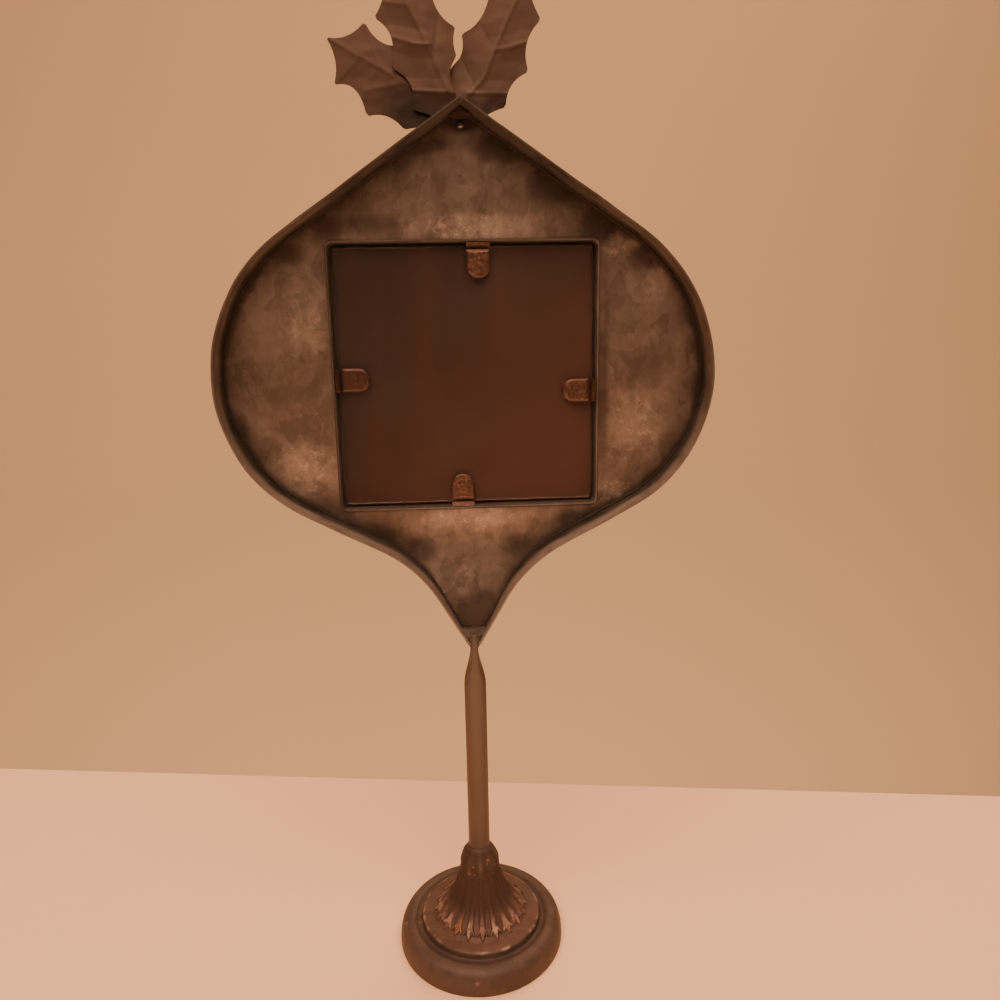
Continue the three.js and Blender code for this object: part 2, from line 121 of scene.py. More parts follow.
class HeadSizes(bpy.types.PropertyGroup):
    """Sizes of the head: its outline, its sheet and its tabs."""

    neck_half_gap: length("Neck half gap", "From the axis to the rim's lower end", 2.739)
    flank_slope: angle("Flank slope", "Slope of the rim above the neck", 60)
    flank_length: length("Flank length", "Straight stretch above the neck", 23.3)
    throat_radius: length("Throat radius", "Bend between the flank and the waist", 54)
    waist_slope: angle("Waist slope", "Slope of the straight stretch under the tray", 28)
    waist_length: length("Waist length", "Straight stretch under the tray", 33.66)
    hip_radius: length("Hip radius", "Bend below the widest place", 58.4)
    shoulder_radius: length("Shoulder radius", "Bend above the widest place", 67)
    roof_slope: angle("Roof slope", "Slope of the straight stretch to the point", 34)
    rim_thickness: length("Rim thickness", "Thickness of the bent strips", 0.9)
    neck_dish: length("Neck dish", "How far the sheet comes forward at the neck", 8.0)
    rim_wobble: length("Rim wobble", "How far the strips stray from their line", 0.22)
    tray_wall: length("Tray wall", "Thickness of the tray's wall", 0.9)
    tray_corner: length("Tray corner", "Corner radius inside the tray", 2.4)
    tab_wrinkle: length("Tab wrinkle", "Height of the wrinkles on the tabs", 0.42)
    leaf_relief: length("Leaf relief", "Height of the main crease pressed into the leaves", 0.8)


class BaseSizes(bpy.types.PropertyGroup):
    """Sizes of the cast base."""

    petal_count: bpy.props.IntProperty(
        name="Petals", description="Petals round the column", default=20, min=3
    )
    petal_height: length("Petal height", "How far the petals stand up", 1.1)
    petal_width: length("Petal width", "Half width of a petal's rib", 1.05)
    flute_depth: length("Flute depth", "Depth between the ribs on the column", 0.3)
    collar_lobe: length("Collar lobe", "Depth of the lobes round the collar", 0.3)


class FinishColours(bpy.types.PropertyGroup):
    """Colours of the finishes."""

    sheet_light: colour("Sheet, light", "Bare galvanised sheet", (122, 110, 102))
    sheet_dark: colour("Sheet, dark", "Dull patches of the sheet", (104, 91, 82))
    heat_mark: colour("Heat mark", "Soot and flux along the solder", (48, 38, 34))
    rim: colour("Rim", "Dull steel of the rim", (142, 128, 118))
    coat: colour("Stem coat", "Brown coat of the stem", (87, 76, 69))
    leaf: colour("Leaf coat", "Brown coat of the leaves", (70, 53, 44))
    cast: colour("Cast base", "Brown coat of the casting", (86, 71, 65))
    bare: colour("Bare metal", "Metal where the coat is worn off", (162, 134, 120))
    gilt: colour("Gilt", "Rest of gilding on one petal", (150, 114, 74))
    copper: colour("Copper", "Wrinkled copper of the tabs", (106, 79, 68))
    zinc: colour("Zinc", "Bright plated fixings", (196, 198, 202))
    insert: colour("Insert", "Dark paper behind the glass", (64, 32, 22))
    board: colour("Hardboard", "Backing board", (128, 92, 62))


class StageLook(bpy.types.PropertyGroup):
    """Light and background."""

    table: colour("Table", "Pale table top", (255, 215, 180))
    wall: colour("Wall", "Plain wall behind the table", (189, 166, 131))
    lamp: colour("Lamp", "Colour of the lamps", (255, 206, 170))
    key_power: power("Key power", "Power of the large lamp above", 34)
    fill_power: power("Fill power", "Power of the lamp in front", 5)
    bounce_power: power("Bounce power", "Light thrown up in front", 1.6)
    back_power: power("Back power", "Power of the lamp above the back", 11)
    wash_power: power("Wash power", "Power of the lamp below the table", 28)
    ambient: number("Ambient", "Strength of the even light from above", 0.55)
    dusk: number("Dusk", "Share of the even light near the horizon", 0.24, max=1)


# ---- shaping ----


def smooth(low, high, value):
    """0 up to low, 1 from high on and an even S between them."""
    share = max(0.0, min(1.0, (value - low) / (high - low)))
    return share * share * (3 - 2 * share)


def lumps(place, size, octaves=2):
    """Soft unevenness about 0 with lumps of the given size."""
    return noise.fractal(place / size, 1.0, 2.0, octaves)


def heading_vector(slope):
    """Direction in the head's plane at a slope above the X axis."""
    return Vector((math.cos(slope), 0, math.sin(slope)))


def curve(start, control, end, steps):
    """Points of a quadratic curve after its start."""
    points = []
    for i in range(1, steps + 1):
        share = i / steps
        points.append(start.lerp(control, share).lerp(control.lerp(end, share), share))
    return points


def distance_to(place, start, end):
    """How far a place in the head's plane is from a straight line between two points."""
    flat, first, last = (point * Vector((1, 0, 1)) for point in (place, start, end))
    share = intersect_point_line(flat, first, last)[1]
    return (flat - first.lerp(last, max(0.0, min(1.0, share)))).length


def chain(bm, points, closed=False):
    """Vertices joined by edges, one after another."""
    verts = [bm.verts.new(point) for point in points]
    edges = [bm.edges.new(pair) for pair in zip(verts, verts[1:])]
    if closed:
        edges.append(bm.edges.new((verts[-1], verts[0])))
    return verts + edges


def filled(bm, points):
    """A flat face within the points."""
    chain(bm, points, closed=True)
    bmesh.ops.contextual_create(bm, geom=bm.edges[:])


def flat_face(bm, width, depth):
    """A flat face in the XY plane, about the origin."""
    verts = bmesh.ops.create_grid(bm, x_segments=1, y_segments=1, size=0.5)["verts"]
    bmesh.ops.scale(bm, verts=verts, vec=(width, depth, 1))
    return verts


def round_off(bm, geom, offset, segments, affect="EDGES"):
    """Rounds edges, or the corners of a flat face."""
    bmesh.ops.bevel(
        bm, geom=geom, offset=offset, segments=segments, profile=0.5, affect=affect, material=-1
    )


def rounded_plate(bm, width, depth, corner, segments):
    """A flat face in the XY plane, about the origin, with rounded corners."""
    round_off(bm, flat_face(bm, width, depth), corner, segments, "VERTICES")


def lay(bm, x_axis, y_axis, place):
    """Moves everything from the XY plane to a place with the given axes."""
    turn = Matrix((x_axis, y_axis, x_axis.cross(y_axis))).transposed().to_4x4()
    bmesh.ops.transform(bm, matrix=Matrix.Translation(place) @ turn, verts=bm.verts)


def move(bm, offset):
    """Moves everything by an offset."""
    bmesh.ops.translate(bm, verts=bm.verts, vec=offset)


def open_faces(bm):
    """Takes the faces away and leaves their edges."""
    bmesh.ops.delete(bm, geom=bm.faces[:], context="FACES_ONLY")


def everything(bm):
    """All the parts of a mesh, as the operators take them."""
    return bm.verts[:] + bm.edges[:] + bm.faces[:]


def merge(bm, dist=TOUCH):
    """Makes one point of points that touch."""
    bmesh.ops.remove_doubles(bm, verts=bm.verts, dist=dist)


def cut_off(bm, place, direction):
    """Removes what lies beyond a plane, on the side that the direction points to."""
    bmesh.ops.bisect_plane(
        bm, geom=everything(bm), dist=1e-7, plane_co=place, plane_no=direction, clear_outer=True
    )


def slice_up(bm, step, *axes):
    """Cuts the mesh across each axis at even steps, so that it can be shaped finely."""
    for axis in axes:
        spread = [vert.co.dot(axis) for vert in bm.verts]
        low = min(spread)
        for i in range(1, int((max(spread) - low) / step) + 1):
            place = axis * (low + i * step)
            bmesh.ops.bisect_plane(
                bm, geom=everything(bm), dist=TOUCH, plane_co=place, plane_no=axis
            )


def thicken(bm, offset):
    """Makes a closed plate of a sheet by carrying a copy of it along an offset."""
    made = bmesh.ops.extrude_face_region(bm, geom=bm.faces[:], use_keep_orig=True)["geom"]
    verts = [part for part in made if isinstance(part, bmesh.types.BMVert)]
    bmesh.ops.translate(bm, verts=verts, vec=offset)


def plate(side, corner, segments, low, high):
    """A square plate about the middle of the tray, between two levels from front to back."""
    bm = bmesh.new()
    rounded_plate(bm, side, side, corner, segments)
    lay(bm, RIGHT, UP, Vector((0, high, HEAD_LEVEL)))
    thicken(bm, FRONT * (high - low))
    face_out(bm)
    return bm


def close_ends(bm):
    """Puts a face on each open end."""
    bmesh.ops.holes_fill(bm, edges=[edge for edge in bm.edges if edge.is_boundary], sides=0)


def face_out(bm):
    """Turns the faces outwards and works out the normals at the points."""
    bmesh.ops.recalc_face_normals(bm, faces=bm.faces)
    bm.normal_update()


def paint(bm, *names):
    """Layers of values at the points, which a finish reads."""
    return [bm.verts.layers.float.new(name) for name in names]


def keep(name, bm, material, nodes, body="frame", crease=38):
    """Makes a piece of a mesh, with its finish, its body and the solids it stands for."""
    mesh = to_mesh(name, bm, material)
    mesh.shade_smooth()
    mesh.set_sharp_from_angle(angle=math.radians(crease))
    piece = to_scene(name, mesh)
    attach(piece, body)
    if nodes:
        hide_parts(*nodes)


def to_mesh(name, bm, material):
    """A mesh with a material, with its faces outwards."""
    bmesh.ops.recalc_face_normals(bm, faces=bm.faces)
    mesh = bpy.data.meshes.new(name)
    bm.to_mesh(mesh)
    bm.free()
    mesh.materials.append(material)
    return mesh


def to_scene(name, data):
    """An object in the scene."""
    thing = bpy.data.objects.new(name, data)
    bpy.context.scene.collection.objects.link(thing)
    return thing


# ---- the head's outline ----

SWEEP_STEP = 1.8 * MM
LEAD = 4 * MM


def outline_start(sizes, inset):
    """A point a little below the neck, inside the rim's outer face by the inset."""
    forward = heading_vector(sizes.flank_slope)
    inward = heading_vector(sizes.flank_slope + QUARTER)
    neck = Vector((sizes.neck_half_gap, 0, RIM_LOW.z))
    return neck - forward * LEAD + inward * inset


def sweep(bm, sizes, seam, foot):
    """Carries the section round the right half of the outline, cut at the point and at the foot."""
    heading = sizes.flank_slope
    place = outline_start(sizes, 0)
    stretches = (
        (sizes.flank_length + LEAD, 0),
        (sizes.throat_radius, sizes.waist_slope - sizes.flank_slope),
        (sizes.waist_length, 0),
        (sizes.hip_radius, QUARTER - sizes.waist_slope),
        (sizes.shoulder_radius, QUARTER - sizes.roof_slope),
        (None, 0),
    )
    section = bm.verts[:] + bm.edges[:]
    for reach, turn in stretches:
        forward = heading_vector(heading)
        if turn:
            centre = place + heading_vector(heading + QUARTER) * math.copysign(reach, turn)
            steps = math.ceil(reach * abs(turn) / SWEEP_STEP)
            made = bmesh.ops.spin(
                bm, geom=section, cent=centre, axis=FRONT, angle=turn, steps=steps, use_merge=False
            )
            place = centre + Matrix.Rotation(turn, 3, FRONT) @ (place - centre)
            heading += turn
        else:
            reach = reach or LEAD - place.x / forward.x
            steps = math.ceil(reach / SWEEP_STEP)
            step = forward * (reach / steps)
            made = bmesh.ops.spin(
                bm, geom=section, cent=place, axis=FRONT, dvec=step, angle=0, steps=steps
            )
            place = place + forward * reach
        section = made["geom_last"]
    cut_off(bm, RIGHT * seam, -RIGHT)
    cut_off(bm, UP * foot, -UP)


def bend_strip(bm, sizes, place, seam, foot):
    """Makes a closed strip of a section in the XY plane, along the right half of the outline."""
    lay(bm, heading_vector(sizes.flank_slope + QUARTER), FRONT, place)
    sweep(bm, sizes, seam, foot)
    close_ends(bm)


def outline_loop(sizes, inset, level, foot):
    """A mesh with the closed outline as edges, inside the rim's outer face by the inset."""
    bm = bmesh.new()
    bm.verts.new(outline_start(sizes, inset) + Vector((0, level, 0)))
    sweep(bm, sizes, 0, foot)
    bmesh.ops.mirror(bm, geom=everything(bm), merge_dist=TOUCH, axis="X")
    merge(bm)
    bm.edges.new([vert for vert in bm.verts if len(vert.link_edges) == 1])
    return bm


# ---- node work ----


class Bench:
    """A short way to place and join nodes in one tree."""

    def __init__(self, tree, place=None):
        self.tree = tree
        self.place = place

    def give(self, socket, value):
        """Joins a value that changes to a socket, or sets a plain one on it."""
        if isinstance(value, bpy.types.NodeSocket):
            self.tree.links.new(value, socket)
        else:
            socket.default_value = value

    def put(self, kind, inlets, outlet=0, **settings):
        """Adds a node, feeds its sockets and returns one of its outputs."""
        node = self.tree.nodes.new("ShaderNode" + kind)
        for name, value in settings.items():
            setattr(node, name, value)
        for socket, value in inlets.items():
            self.give(node.inputs[socket], value)
        return node.outputs[outlet]

    def painted(self, name):
        """A value that the mesh holds at its points."""
        return self.put("Attribute", {}, "Fac", attribute_name=name)

    def noise(self, scale, detail=3.0, rough=0.5, vector=None, outlet="Fac"):
        inlets = {"Scale": scale, "Detail": detail, "Roughness": rough}
        return self.put("TexNoise", {"Vector": vector or self.place, **inlets}, outlet)

    def stretched(self, vector, factors):
        """A place with its axes stretched."""
        return self.put("VectorMath", {0: vector, 1: factors}, operation="MULTIPLY")

    def times(self, a, b):
        return self.put("Math", {0: a, 1: b}, operation="MULTIPLY")

    def total(self, start, *rows):
        """A start with shares of other values added: a value and its share in each row."""
        for value, share in rows:
            inlets = {0: value, 1: share, 2: start}
            start = self.put("Math", inlets, operation="MULTIPLY_ADD")
        return start

    def between(self, value, low, high, to_low=0.0, to_high=1.0):
        """Maps a range of values to another with a soft S."""
        names = ("Value", "From Min", "From Max", "To Min", "To Max")
        inlets = dict(zip(names, (value, low, high, to_low, to_high)))
        return self.put("MapRange", inlets, interpolation_type="SMOOTHSTEP")

    def mix(self, share, a, b):
        return self.put("Mix", {0: share, 6: solid(a), 7: solid(b)}, 2, data_type="RGBA")

    def layers(self, tone, base, *rows):
        """Lays shades of a base colour over a tone: the shade, its mask and the mask's strength."""
        for factor, mask, *strength in rows:
            for share in strength:
                mask = self.times(mask, share)
            tone = self.mix(mask, tone, shade(base, factor))
        return tone

    def bump(self, height, strength, distance):
        return self.put("Bump", {"Height": height, "Strength": strength, "Distance": distance})

    def effect(self, name, outlet, **inlets):
        """Places one of the shared effects."""
        inlets["Vector"] = self.place
        return self.put("Group", inlets, outlet, node_tree=shared_effect(name))

    def grime(self, scale, cover):
        return self.effect("Grime", "Mask", Scale=scale, Cover=cover)

    def streaks(self, *stretch):
        return self.effect("Drawn streaks", "Streak", Stretch=stretch)

    def grain(self, scale):
        return self.effect("Fine grain", "Height", Scale=scale)

    def flecks(self, scale):
        return self.effect("Fine grain", "Fleck", Scale=scale)


class Finish(Bench):
    """A bench for one material on the object's own coordinates."""

    def __init__(self, name):
        self.material = bpy.data.materials.new(name)
        self.material.use_nodes = True
        super().__init__(self.material.node_tree)
        self.place = self.put("TexCoord", {}, "Object")
        self.shader = self.tree.nodes["Principled BSDF"]

    def done(self, **inlets):
        """Feeds the shader and returns the material."""
        for name, value in inlets.items():
            self.give(self.shader.inputs[name.replace("_", " ")], value)
        return self.material


def solid(value):
    """A colour with its fourth value, or a socket as it is."""
    return value if isinstance(value, bpy.types.NodeSocket) else (*value[:3], 1.0)


def shade(value, factor):
    """The same hue, darker or lighter."""
    return tuple(min(1.0, part * factor) for part in value[:3])


def grime_effect(bench, entry):
    """Patches of dirt or wear: 1 inside a patch and 0 outside, with ragged edges."""
    broad = bench.noise(entry["Scale"], 5.0, 0.62)
    edge = bench.total(0.72, (entry["Cover"], -0.45))
    return (bench.between(broad, edge, bench.total(0.1, (edge, 1.0))),)


def streak_effect(bench, entry):
    """Fine drawn lines, finer across than along."""
    stretched = bench.stretched(entry["Vector"], entry["Stretch"])
    return (bench.noise(1.0, 4.0, 0.6, stretched),)


def grain_effect(bench, entry):
    """A fine even grain as a height, and scattered flecks as a mask."""
    fine = bench.noise(entry["Scale"], 4.0, 0.65)
    coarse = bench.noise(bench.times(entry["Scale"], 0.21))
    return bench.total(0.0, (fine, 0.45), (coarse, 0.55)), bench.between(fine, 0.66, 0.74)


# Each shared effect's maker, its inlets besides the place, and its outlets.
EFFECTS = {
    "Grime": (grime_effect, {"Scale": "Float", "Cover": "Float"}, ("Mask",)),
    "Drawn streaks": (streak_effect, {"Stretch": "Vector"}, ("Streak",)),
    "Fine grain": (grain_effect, {"Scale": "Float"}, ("Height", "Fleck")),
}


def shared_effect(name):
    """A shared effect, which is built when it is first needed."""
    if name in bpy.data.node_groups:
        return bpy.data.node_groups[name]
    maker, inlets, outlets = EFFECTS[name]
    tree = bpy.data.node_groups.new(name, "ShaderNodeTree")
    for label, kind in {"Vector": "Vector", **inlets}.items():
        tree.interface.new_socket(label, in_out="INPUT", socket_type="NodeSocket" + kind)
    for label in outlets:
        tree.interface.new_socket(label, in_out="OUTPUT", socket_type="NodeSocketFloat")
    entry = tree.nodes.new("NodeGroupInput").outputs
    leave = tree.nodes.new("NodeGroupOutput").inputs
    bench = Bench(tree, entry["Vector"])
    for label, value in zip(outlets, maker(bench, entry)):
        bench.give(leave[label], value)
    return tree


# ---- finishes ----


def galvanised_finish(colours):
    """Dull zinc sheet: cloudy tone, soft dabs of spangle, drawn streaks and heat marks."""
    look = Finish("Galvanised sheet")
    cloud = look.noise(30.0, 4.0, 0.55)
    mottle = look.noise(110.0, 5.0, 0.68)
    stray = look.noise(70.0, 4.0, outlet="Color")
    shift = {0: stray, 1: (0.016,) * 3, 2: look.place}
    flat = look.stretched(
        look.put("VectorMath", shift, operation="MULTIPLY_ADD"), (1.0, 0.0, 0.8)
    )
    streak = look.streaks(1500.0, 1.0, 70.0)
    grain = look.grain(1400.0)
    heat = look.painted("scorched")
    rubbed = look.painted("rubbed")
    light, dark = colours.sheet_light, colours.sheet_dark
    tone = look.mix(look.between(cloud, 0.34, 0.66), dark, light)
    tone = look.layers(tone, light, (1.45, look.between(mottle, 0.45, 0.75, 0.0, 0.5)))
    tone = look.layers(tone, dark, (0.6, look.between(mottle, 0.5, 0.25, 0.0, 0.4)))
    shown = look.between(cloud, 0.3, 0.55, 0.35, 1.0)
    for scale, depth in ((115.0, 0.34), (205.0, 0.26)):
        cells = look.put("TexVoronoi", {"Vector": flat, "Scale": scale}, "Color")
        pick = look.put("SeparateColor", {"Color": cells})
        tone = look.layers(tone, dark, (0.45, look.between(pick, 0.62, 0.9, 0.0, depth), shown))
        tone = look.layers(tone, light, (1.4, look.between(pick, 0.3, 0.1, 0.0, depth * 0.7)))
    tone = look.layers(tone, dark, (0.6, look.between(streak, 0.4, 0.7, 0.0, 0.14)))
    shine = look.between(mottle, 0.38, 0.6, 0.2, 0.85)
    speck = look.between(grain, 0.5, 0.66, 0.0, 0.8)
    tone = look.layers(tone, light, (1.9, rubbed, shine), (3.0, rubbed, speck))
    burnt = look.mix(mottle, colours.heat_mark, shade(colours.heat_mark, 0.6))
    height = look.total(0.0, (streak, 0.4), (grain, 0.5), (mottle, 0.8))
    return look.done(
        Base_Color=look.mix(look.times(heat, 0.85), tone, burnt),
        Roughness=look.total(0.34, (cloud, 0.2), (heat, 0.12)),
        Metallic=0.8,
        Normal=look.bump(height, 0.3, 0.00012),
    )


def rim_finish(colours, name="Rim steel", factor=1.0, dirt=0.5):
    """Darkened steel with faint drawn lines, dull patches, soot with painted shade, and worn
    arrises with painted highlights.
    """
    look = Finish(name)
    cloud = look.noise(45.0, 4.0, 0.6)
    grime = look.grime(60.0, 0.5)
    streak = look.streaks(260.0, 1500.0, 260.0)
    soot = look.painted("soot")
    base = shade(colours.rim, factor)
    tone = look.layers(
        shade(base, 0.75),
        base,
        (1.2, cloud),
        (0.55, streak, 0.35),
        (0.45, grime, dirt),
        (2.2, look.flecks(900.0), 0.35),
        (0.3, look.painted("edge"), look.between(cloud, 0.3, 0.65, 0.4, 0.8)),
        # Soot and painted shade: darker on the inner side near the sheet, under the point and
        # towards the top.
        (0.05, soot, look.between(grime, 0.0, 1.0, 0.92, 1.0)),
        # Painted highlight along the tray's inner lip.
        (2.6, look.painted("worn")),
    )
    return look.done(
        Base_Color=tone,
        Roughness=look.total(look.between(soot, 0.3, 1.0, 0.34, 0.7), (cloud, 0.25)),
        Metallic=look.between(soot, 0.3, 0.9, 0.3, 0.0),
        Specular_IOR_Level=0.3,
        Normal=look.bump(look.total(streak, (look.grain(1100.0), 1.0)), 0.25, 0.0001),
    )


def coat_finish(base, name):
    """Satin brown coat over steel, with cloudy tone, fine grain and scuffs."""
    look = Finish(name)
    cloud = look.noise(55.0, 4.0, 0.55)
    tone = look.layers(
        shade(base, 0.78),
        base,
        (1.18, cloud),
        (1.6, look.grime(120.0, 0.25), 0.25),
        (0.5, look.flecks(1300.0), 0.3),
        (0.22, look.painted("shadow"), 0.9),
    )
    return look.done(
        Base_Color=tone,
        Roughness=look.total(0.36, (cloud, 0.22)),
        Metallic=0.5,
        Normal=look.bump(look.grain(1500.0), 0.3, 0.00012),
    )


def cast_finish(colours):
    """Brown coat on a casting, with painted shade in its hollows, worn to bare metal on its ridges,
    and painted highlights on the ring's edge and the collar.
    """
    look = Finish("Cast base")
    cloud = look.noise(60.0, 5.0, 0.6)
    grain = look.grain(700.0)
    hollow = look.painted("hollow")
    base = Vector(colours.cast)
    ruddy = look.times(look.painted("ruddy"), look.between(cloud, 0.3, 0.6))
    tone = look.layers(shade(base, 0.7), base, (1.25, cloud))
    tone = look.mix(ruddy, tone, base * Vector((1.25, 0.95, 0.85)))
    patch = look.grime(75.0, 0.55)
    tone = look.layers(tone, base, (0.5, patch, 0.4), (2.4, look.flecks(520.0), 0.22))
    # Painted shade in the hollows; the column and the collar are painted darker too.
    tone = look.mix(look.times(hollow, 0.9), tone, base * Vector((0.42, 0.3, 0.25)))
    bright = look.mix(look.painted("gilt"), colours.bare, colours.gilt)
    # Bare metal where the coat is worn, and painted highlights on the ring's edge and the collar.
    wear_and_highlight_mask = look.times(look.painted("worn"), look.between(grain, 0.34, 0.52, 0.1, 1.0))
    return look.done(
        Base_Color=look.mix(wear_and_highlight_mask, tone, bright),
        Roughness=look.total(0.42, (cloud, 0.25), (hollow, 0.25)),
        Metallic=0.25,
        Specular_IOR_Level=0.35,
        Normal=look.bump(grain, 0.4, 0.0002),
    )


def solder_finish(colours, name, drops, shine=0.5):
    """Dull brown solder with soot and a share of bright drops, which are also painted highlights.
    """
    look = Finish(name)
    cloud = look.noise(130.0, 4.0, 0.6)
    soot = shade(colours.heat_mark, 0.8)
    tone = look.layers(soot, colours.coat, (0.3 + drops, look.between(cloud, 0.3, 0.7)))
    return look.done(
        # Bright drops of solder, which are also painted highlights on the lumps.
        Base_Color=look.layers(tone, colours.sheet_light, (1.4, look.grime(420.0, 0.3), drops)),
        Roughness=look.total(0.45, (cloud, 0.3)),
        Metallic=0.3 * shine,
        Specular_IOR_Level=shine,
        Normal=look.bump(look.grain(900.0), 0.5, 0.0003),
    )


def copper_finish(colours):
    """Wrinkled copper with a painted highlight on its wrinkles and painted shade between them, and
    brown where it is dull.
    """
    look = Finish("Tab copper")
    cloud = look.noise(220.0, 4.0, 0.6)
    crest = look.painted("crest")
    base = colours.copper
    tone = look.layers(
        shade(base, 0.6),
        base,
        (1.1, cloud),
        # Painted shade between the wrinkles and a painted highlight on their crests.
        (0.25, look.between(crest, 0.55, 0.1, 0.0, 0.7)),
        (1.5, look.between(crest, 0.7, 1.0, 0.0, 0.5)),
        (0.42, look.painted("dull"), look.between(cloud, 0.2, 0.6, 0.5, 1.0)),
    )
    return look.done(
        Base_Color=tone,
        Roughness=look.total(0.3, (cloud, 0.25)),
        Metallic=0.75,
        Normal=look.bump(look.grain(1600.0), 0.3, 0.00012),
    )


def zinc_finish(colours):
    """Bright plated metal with a faint cloud and fine scratches."""
    look = Finish("Bright zinc")
    streak = look.streaks(2400.0, 300.0, 600.0)
    return look.done(
        Base_Color=look.mix(look.noise(260.0, 4.0, 0.6), shade(colours.zinc, 0.6), colours.zinc),
        Roughness=look.total(0.22, (streak, 0.25)),
        Metallic=0.9,
        Normal=look.bump(streak, 0.2, 0.0001),
    )


def rivet_finish(colours):
    """Sooty rivet that is bright only where it catches the light."""
    look = Finish("Rivet")
    cloud = look.noise(500.0, 3.0, 0.6)
    return look.done(
        Base_Color=look.layers(shade(colours.zinc, 0.12), colours.zinc, (0.35, cloud)),
        Roughness=look.between(cloud, 0.3, 0.7, 0.22, 0.34),
        Metallic=0.8,
        Normal=look.bump(cloud, 0.2, 0.0001),
    )


def glass_finish():
    """Clear pane with a faint film of dust, which lets the light through to what lies behind."""
    look = Finish("Pane")
    film = look.noise(30.0, 5.0, 0.6)
    clear = look.put("BsdfTransparent", {"Color": (0.95, 0.93, 0.9, 1.0)})
    shadow_ray = look.put("LightPath", {}, "Is Shadow Ray")
    both = look.put("MixShader", {0: shadow_ray, 1: look.shader.outputs[0], 2: clear})
    look.give(look.tree.nodes["Material Output"].inputs["Surface"], both)
    return look.done(
        Base_Color=look.mix(film, (0.93, 0.9, 0.87), (0.99, 0.97, 0.95)),
        Roughness=look.between(film, 0.35, 0.75, 0.01, 0.05),
        Transmission_Weight=1.0,
        IOR=1.5,
        Specular_Tint=(1.0, 0.78, 0.62, 1.0),
    )


def paper_finish(colours):
    """Dark brown paper, a little lighter to the lower right, with a faint fibre."""
    look = Finish("Insert paper")
    fibre = look.streaks(900.0, 900.0, 180.0)
    cloud = look.noise(22.0)
    sheen = look.streaks(46.0, 1.0, 7.0)
    inlets = {0: look.place, 1: (1.0, 0.0, -1.0)}
    slope = look.put("VectorMath", inlets, "Value", operation="DOT_PRODUCT")
    base = colours.insert
    tone = look.layers(
        shade(base, 0.12),
        base,
        (1.0, look.between(slope, -0.08 - HEAD_LEVEL, 0.09 - HEAD_LEVEL)),
        (0.7, cloud, 0.25),
        (1.35, look.between(sheen, 0.45, 0.65, 0.0, 0.3)),
        (1.3, fibre, 0.12),
    )
    return look.done(
        Base_Color=tone,
        Roughness=look.between(cloud, 0.2, 0.8, 0.7, 0.9),
        Normal=look.bump(fibre, 0.1, 0.0001),
    )


def board_finish(colours):
    """Bare hardboard with pressed fibre."""
    look = Finish("Hardboard")
    fibre = look.noise(700.0, 5.0, 0.7)
    cloud = look.noise(60.0)
    pressed = look.between(fibre, 0.5, 0.7)
    base = colours.board
    return look.done(
        Base_Color=look.layers(shade(base, 0.75), base, (1.0, cloud), (0.5, pressed)),
        Roughness=look.between(cloud, 0.2, 0.8, 0.7, 0.9),
        Normal=look.bump(fibre, 0.4, 0.0002),
    )


def plain_finish(name, tint, scale):
    """A matte surface for the stage with a very faint unevenness."""
    look = Finish(name)
    return look.done(
        Base_Color=look.layers(tint, tint, (0.82, look.noise(scale), 0.12)), Roughness=0.95
    )


# ---- the sheet, the rim and the solder ----

# Heat marks and rubbed places on the sheet: millimetres right of and above the middle of the
# tray, half width, half height and strength.
HEAT_MARKS = (
    (-52, 58, 9, 8, 0.85),
    (-36, 59, 15, 3.6, 0.6),
    (-69, 49, 9, 6, 0.75),
    (2, 96, 10, 5, 1.0),
    (-14, 87, 12, 4, 0.6),
    (4, 74, 34, 14, 0.42),
    (17, 86, 18, 7, 0.9),
    (34, 73, 15, 8, 0.9),
    (53, 58, 9, 9, 0.9),
    (72, 46, 7, 6, 0.7),
    (-91, -18, 4, 7, 0.8),
    (-83, -37, 5, 5, 0.65),
    (-37, -63, 9, 4.5, 0.75),
    (-21, -70, 9, 6, 0.75),
    (22, -71, 9, 7, 0.65),
    (42, -60, 8, 5, 0.7),
    (2, -99, 17, 18, 0.85),
    (-10, -85, 4, 4, 0.45),
    (55, 0, 2.4, 56, 0.75),
    (0, 94, 3.2, 3.2, 1.0),
)
RUBBED_MARKS = (
    (3, 58, 26, 5, 0.7),
    (61, 51, 8, 5, 0.8),
    (76, 36, 6, 7, 0.6),
    (-70, -38, 16, 14, 0.8),
    (60, -49, 12, 6, 0.7),
    (4, -57, 24, 6, 0.7),
    (-4, -84, 4, 8, 0.6),
    (-62, 20, 9, 14, 0.35),
    (68, -20, 12, 16, 0.5),
)
SEAM_WIDTH = 2.9 * MM
FINE_STEP = 2.2 * MM
SHEET_WAVE = 0.16 * MM
RIM_SEAM = 0.15 * MM
RIM_ARRIS = 0.28 * MM
BEAD_RADIUS = 0.6 * MM
HALVES = ((1, "right"), (-1, "left"))


def marked(place, marks):
    """How strongly a place on the sheet is marked, from 0 to 1."""
    ragged = 0.3 * lumps(place, 9 * MM, 3)
    most = 0.0
    for right, above, half_width, half_height, strength in marks:
        across = (place.x / MM - right) / half_width
        along = ((place.z - HEAD_LEVEL) / MM - above) / half_height
        away = math.hypot(across, along) + ragged
        most = max(most, strength * smooth(1.25, 0.45, away))
    return most


def dish(sizes, level):
    """How far the sheet comes forward at a level, where it runs down into the neck."""
    return sizes.neck_dish * smooth(RIM_LOW.z + 44 * MM, RIM_LOW.z + 2 * MM, level)


def flank_reach(sizes, level):
    """From the axis to the rim's inner face near the neck, at a level."""
    rise = (level - RIM_LOW.z) / math.tan(sizes.flank_slope)
    return sizes.neck_half_gap + rise - sizes.rim_thickness / math.sin(sizes.flank_slope)


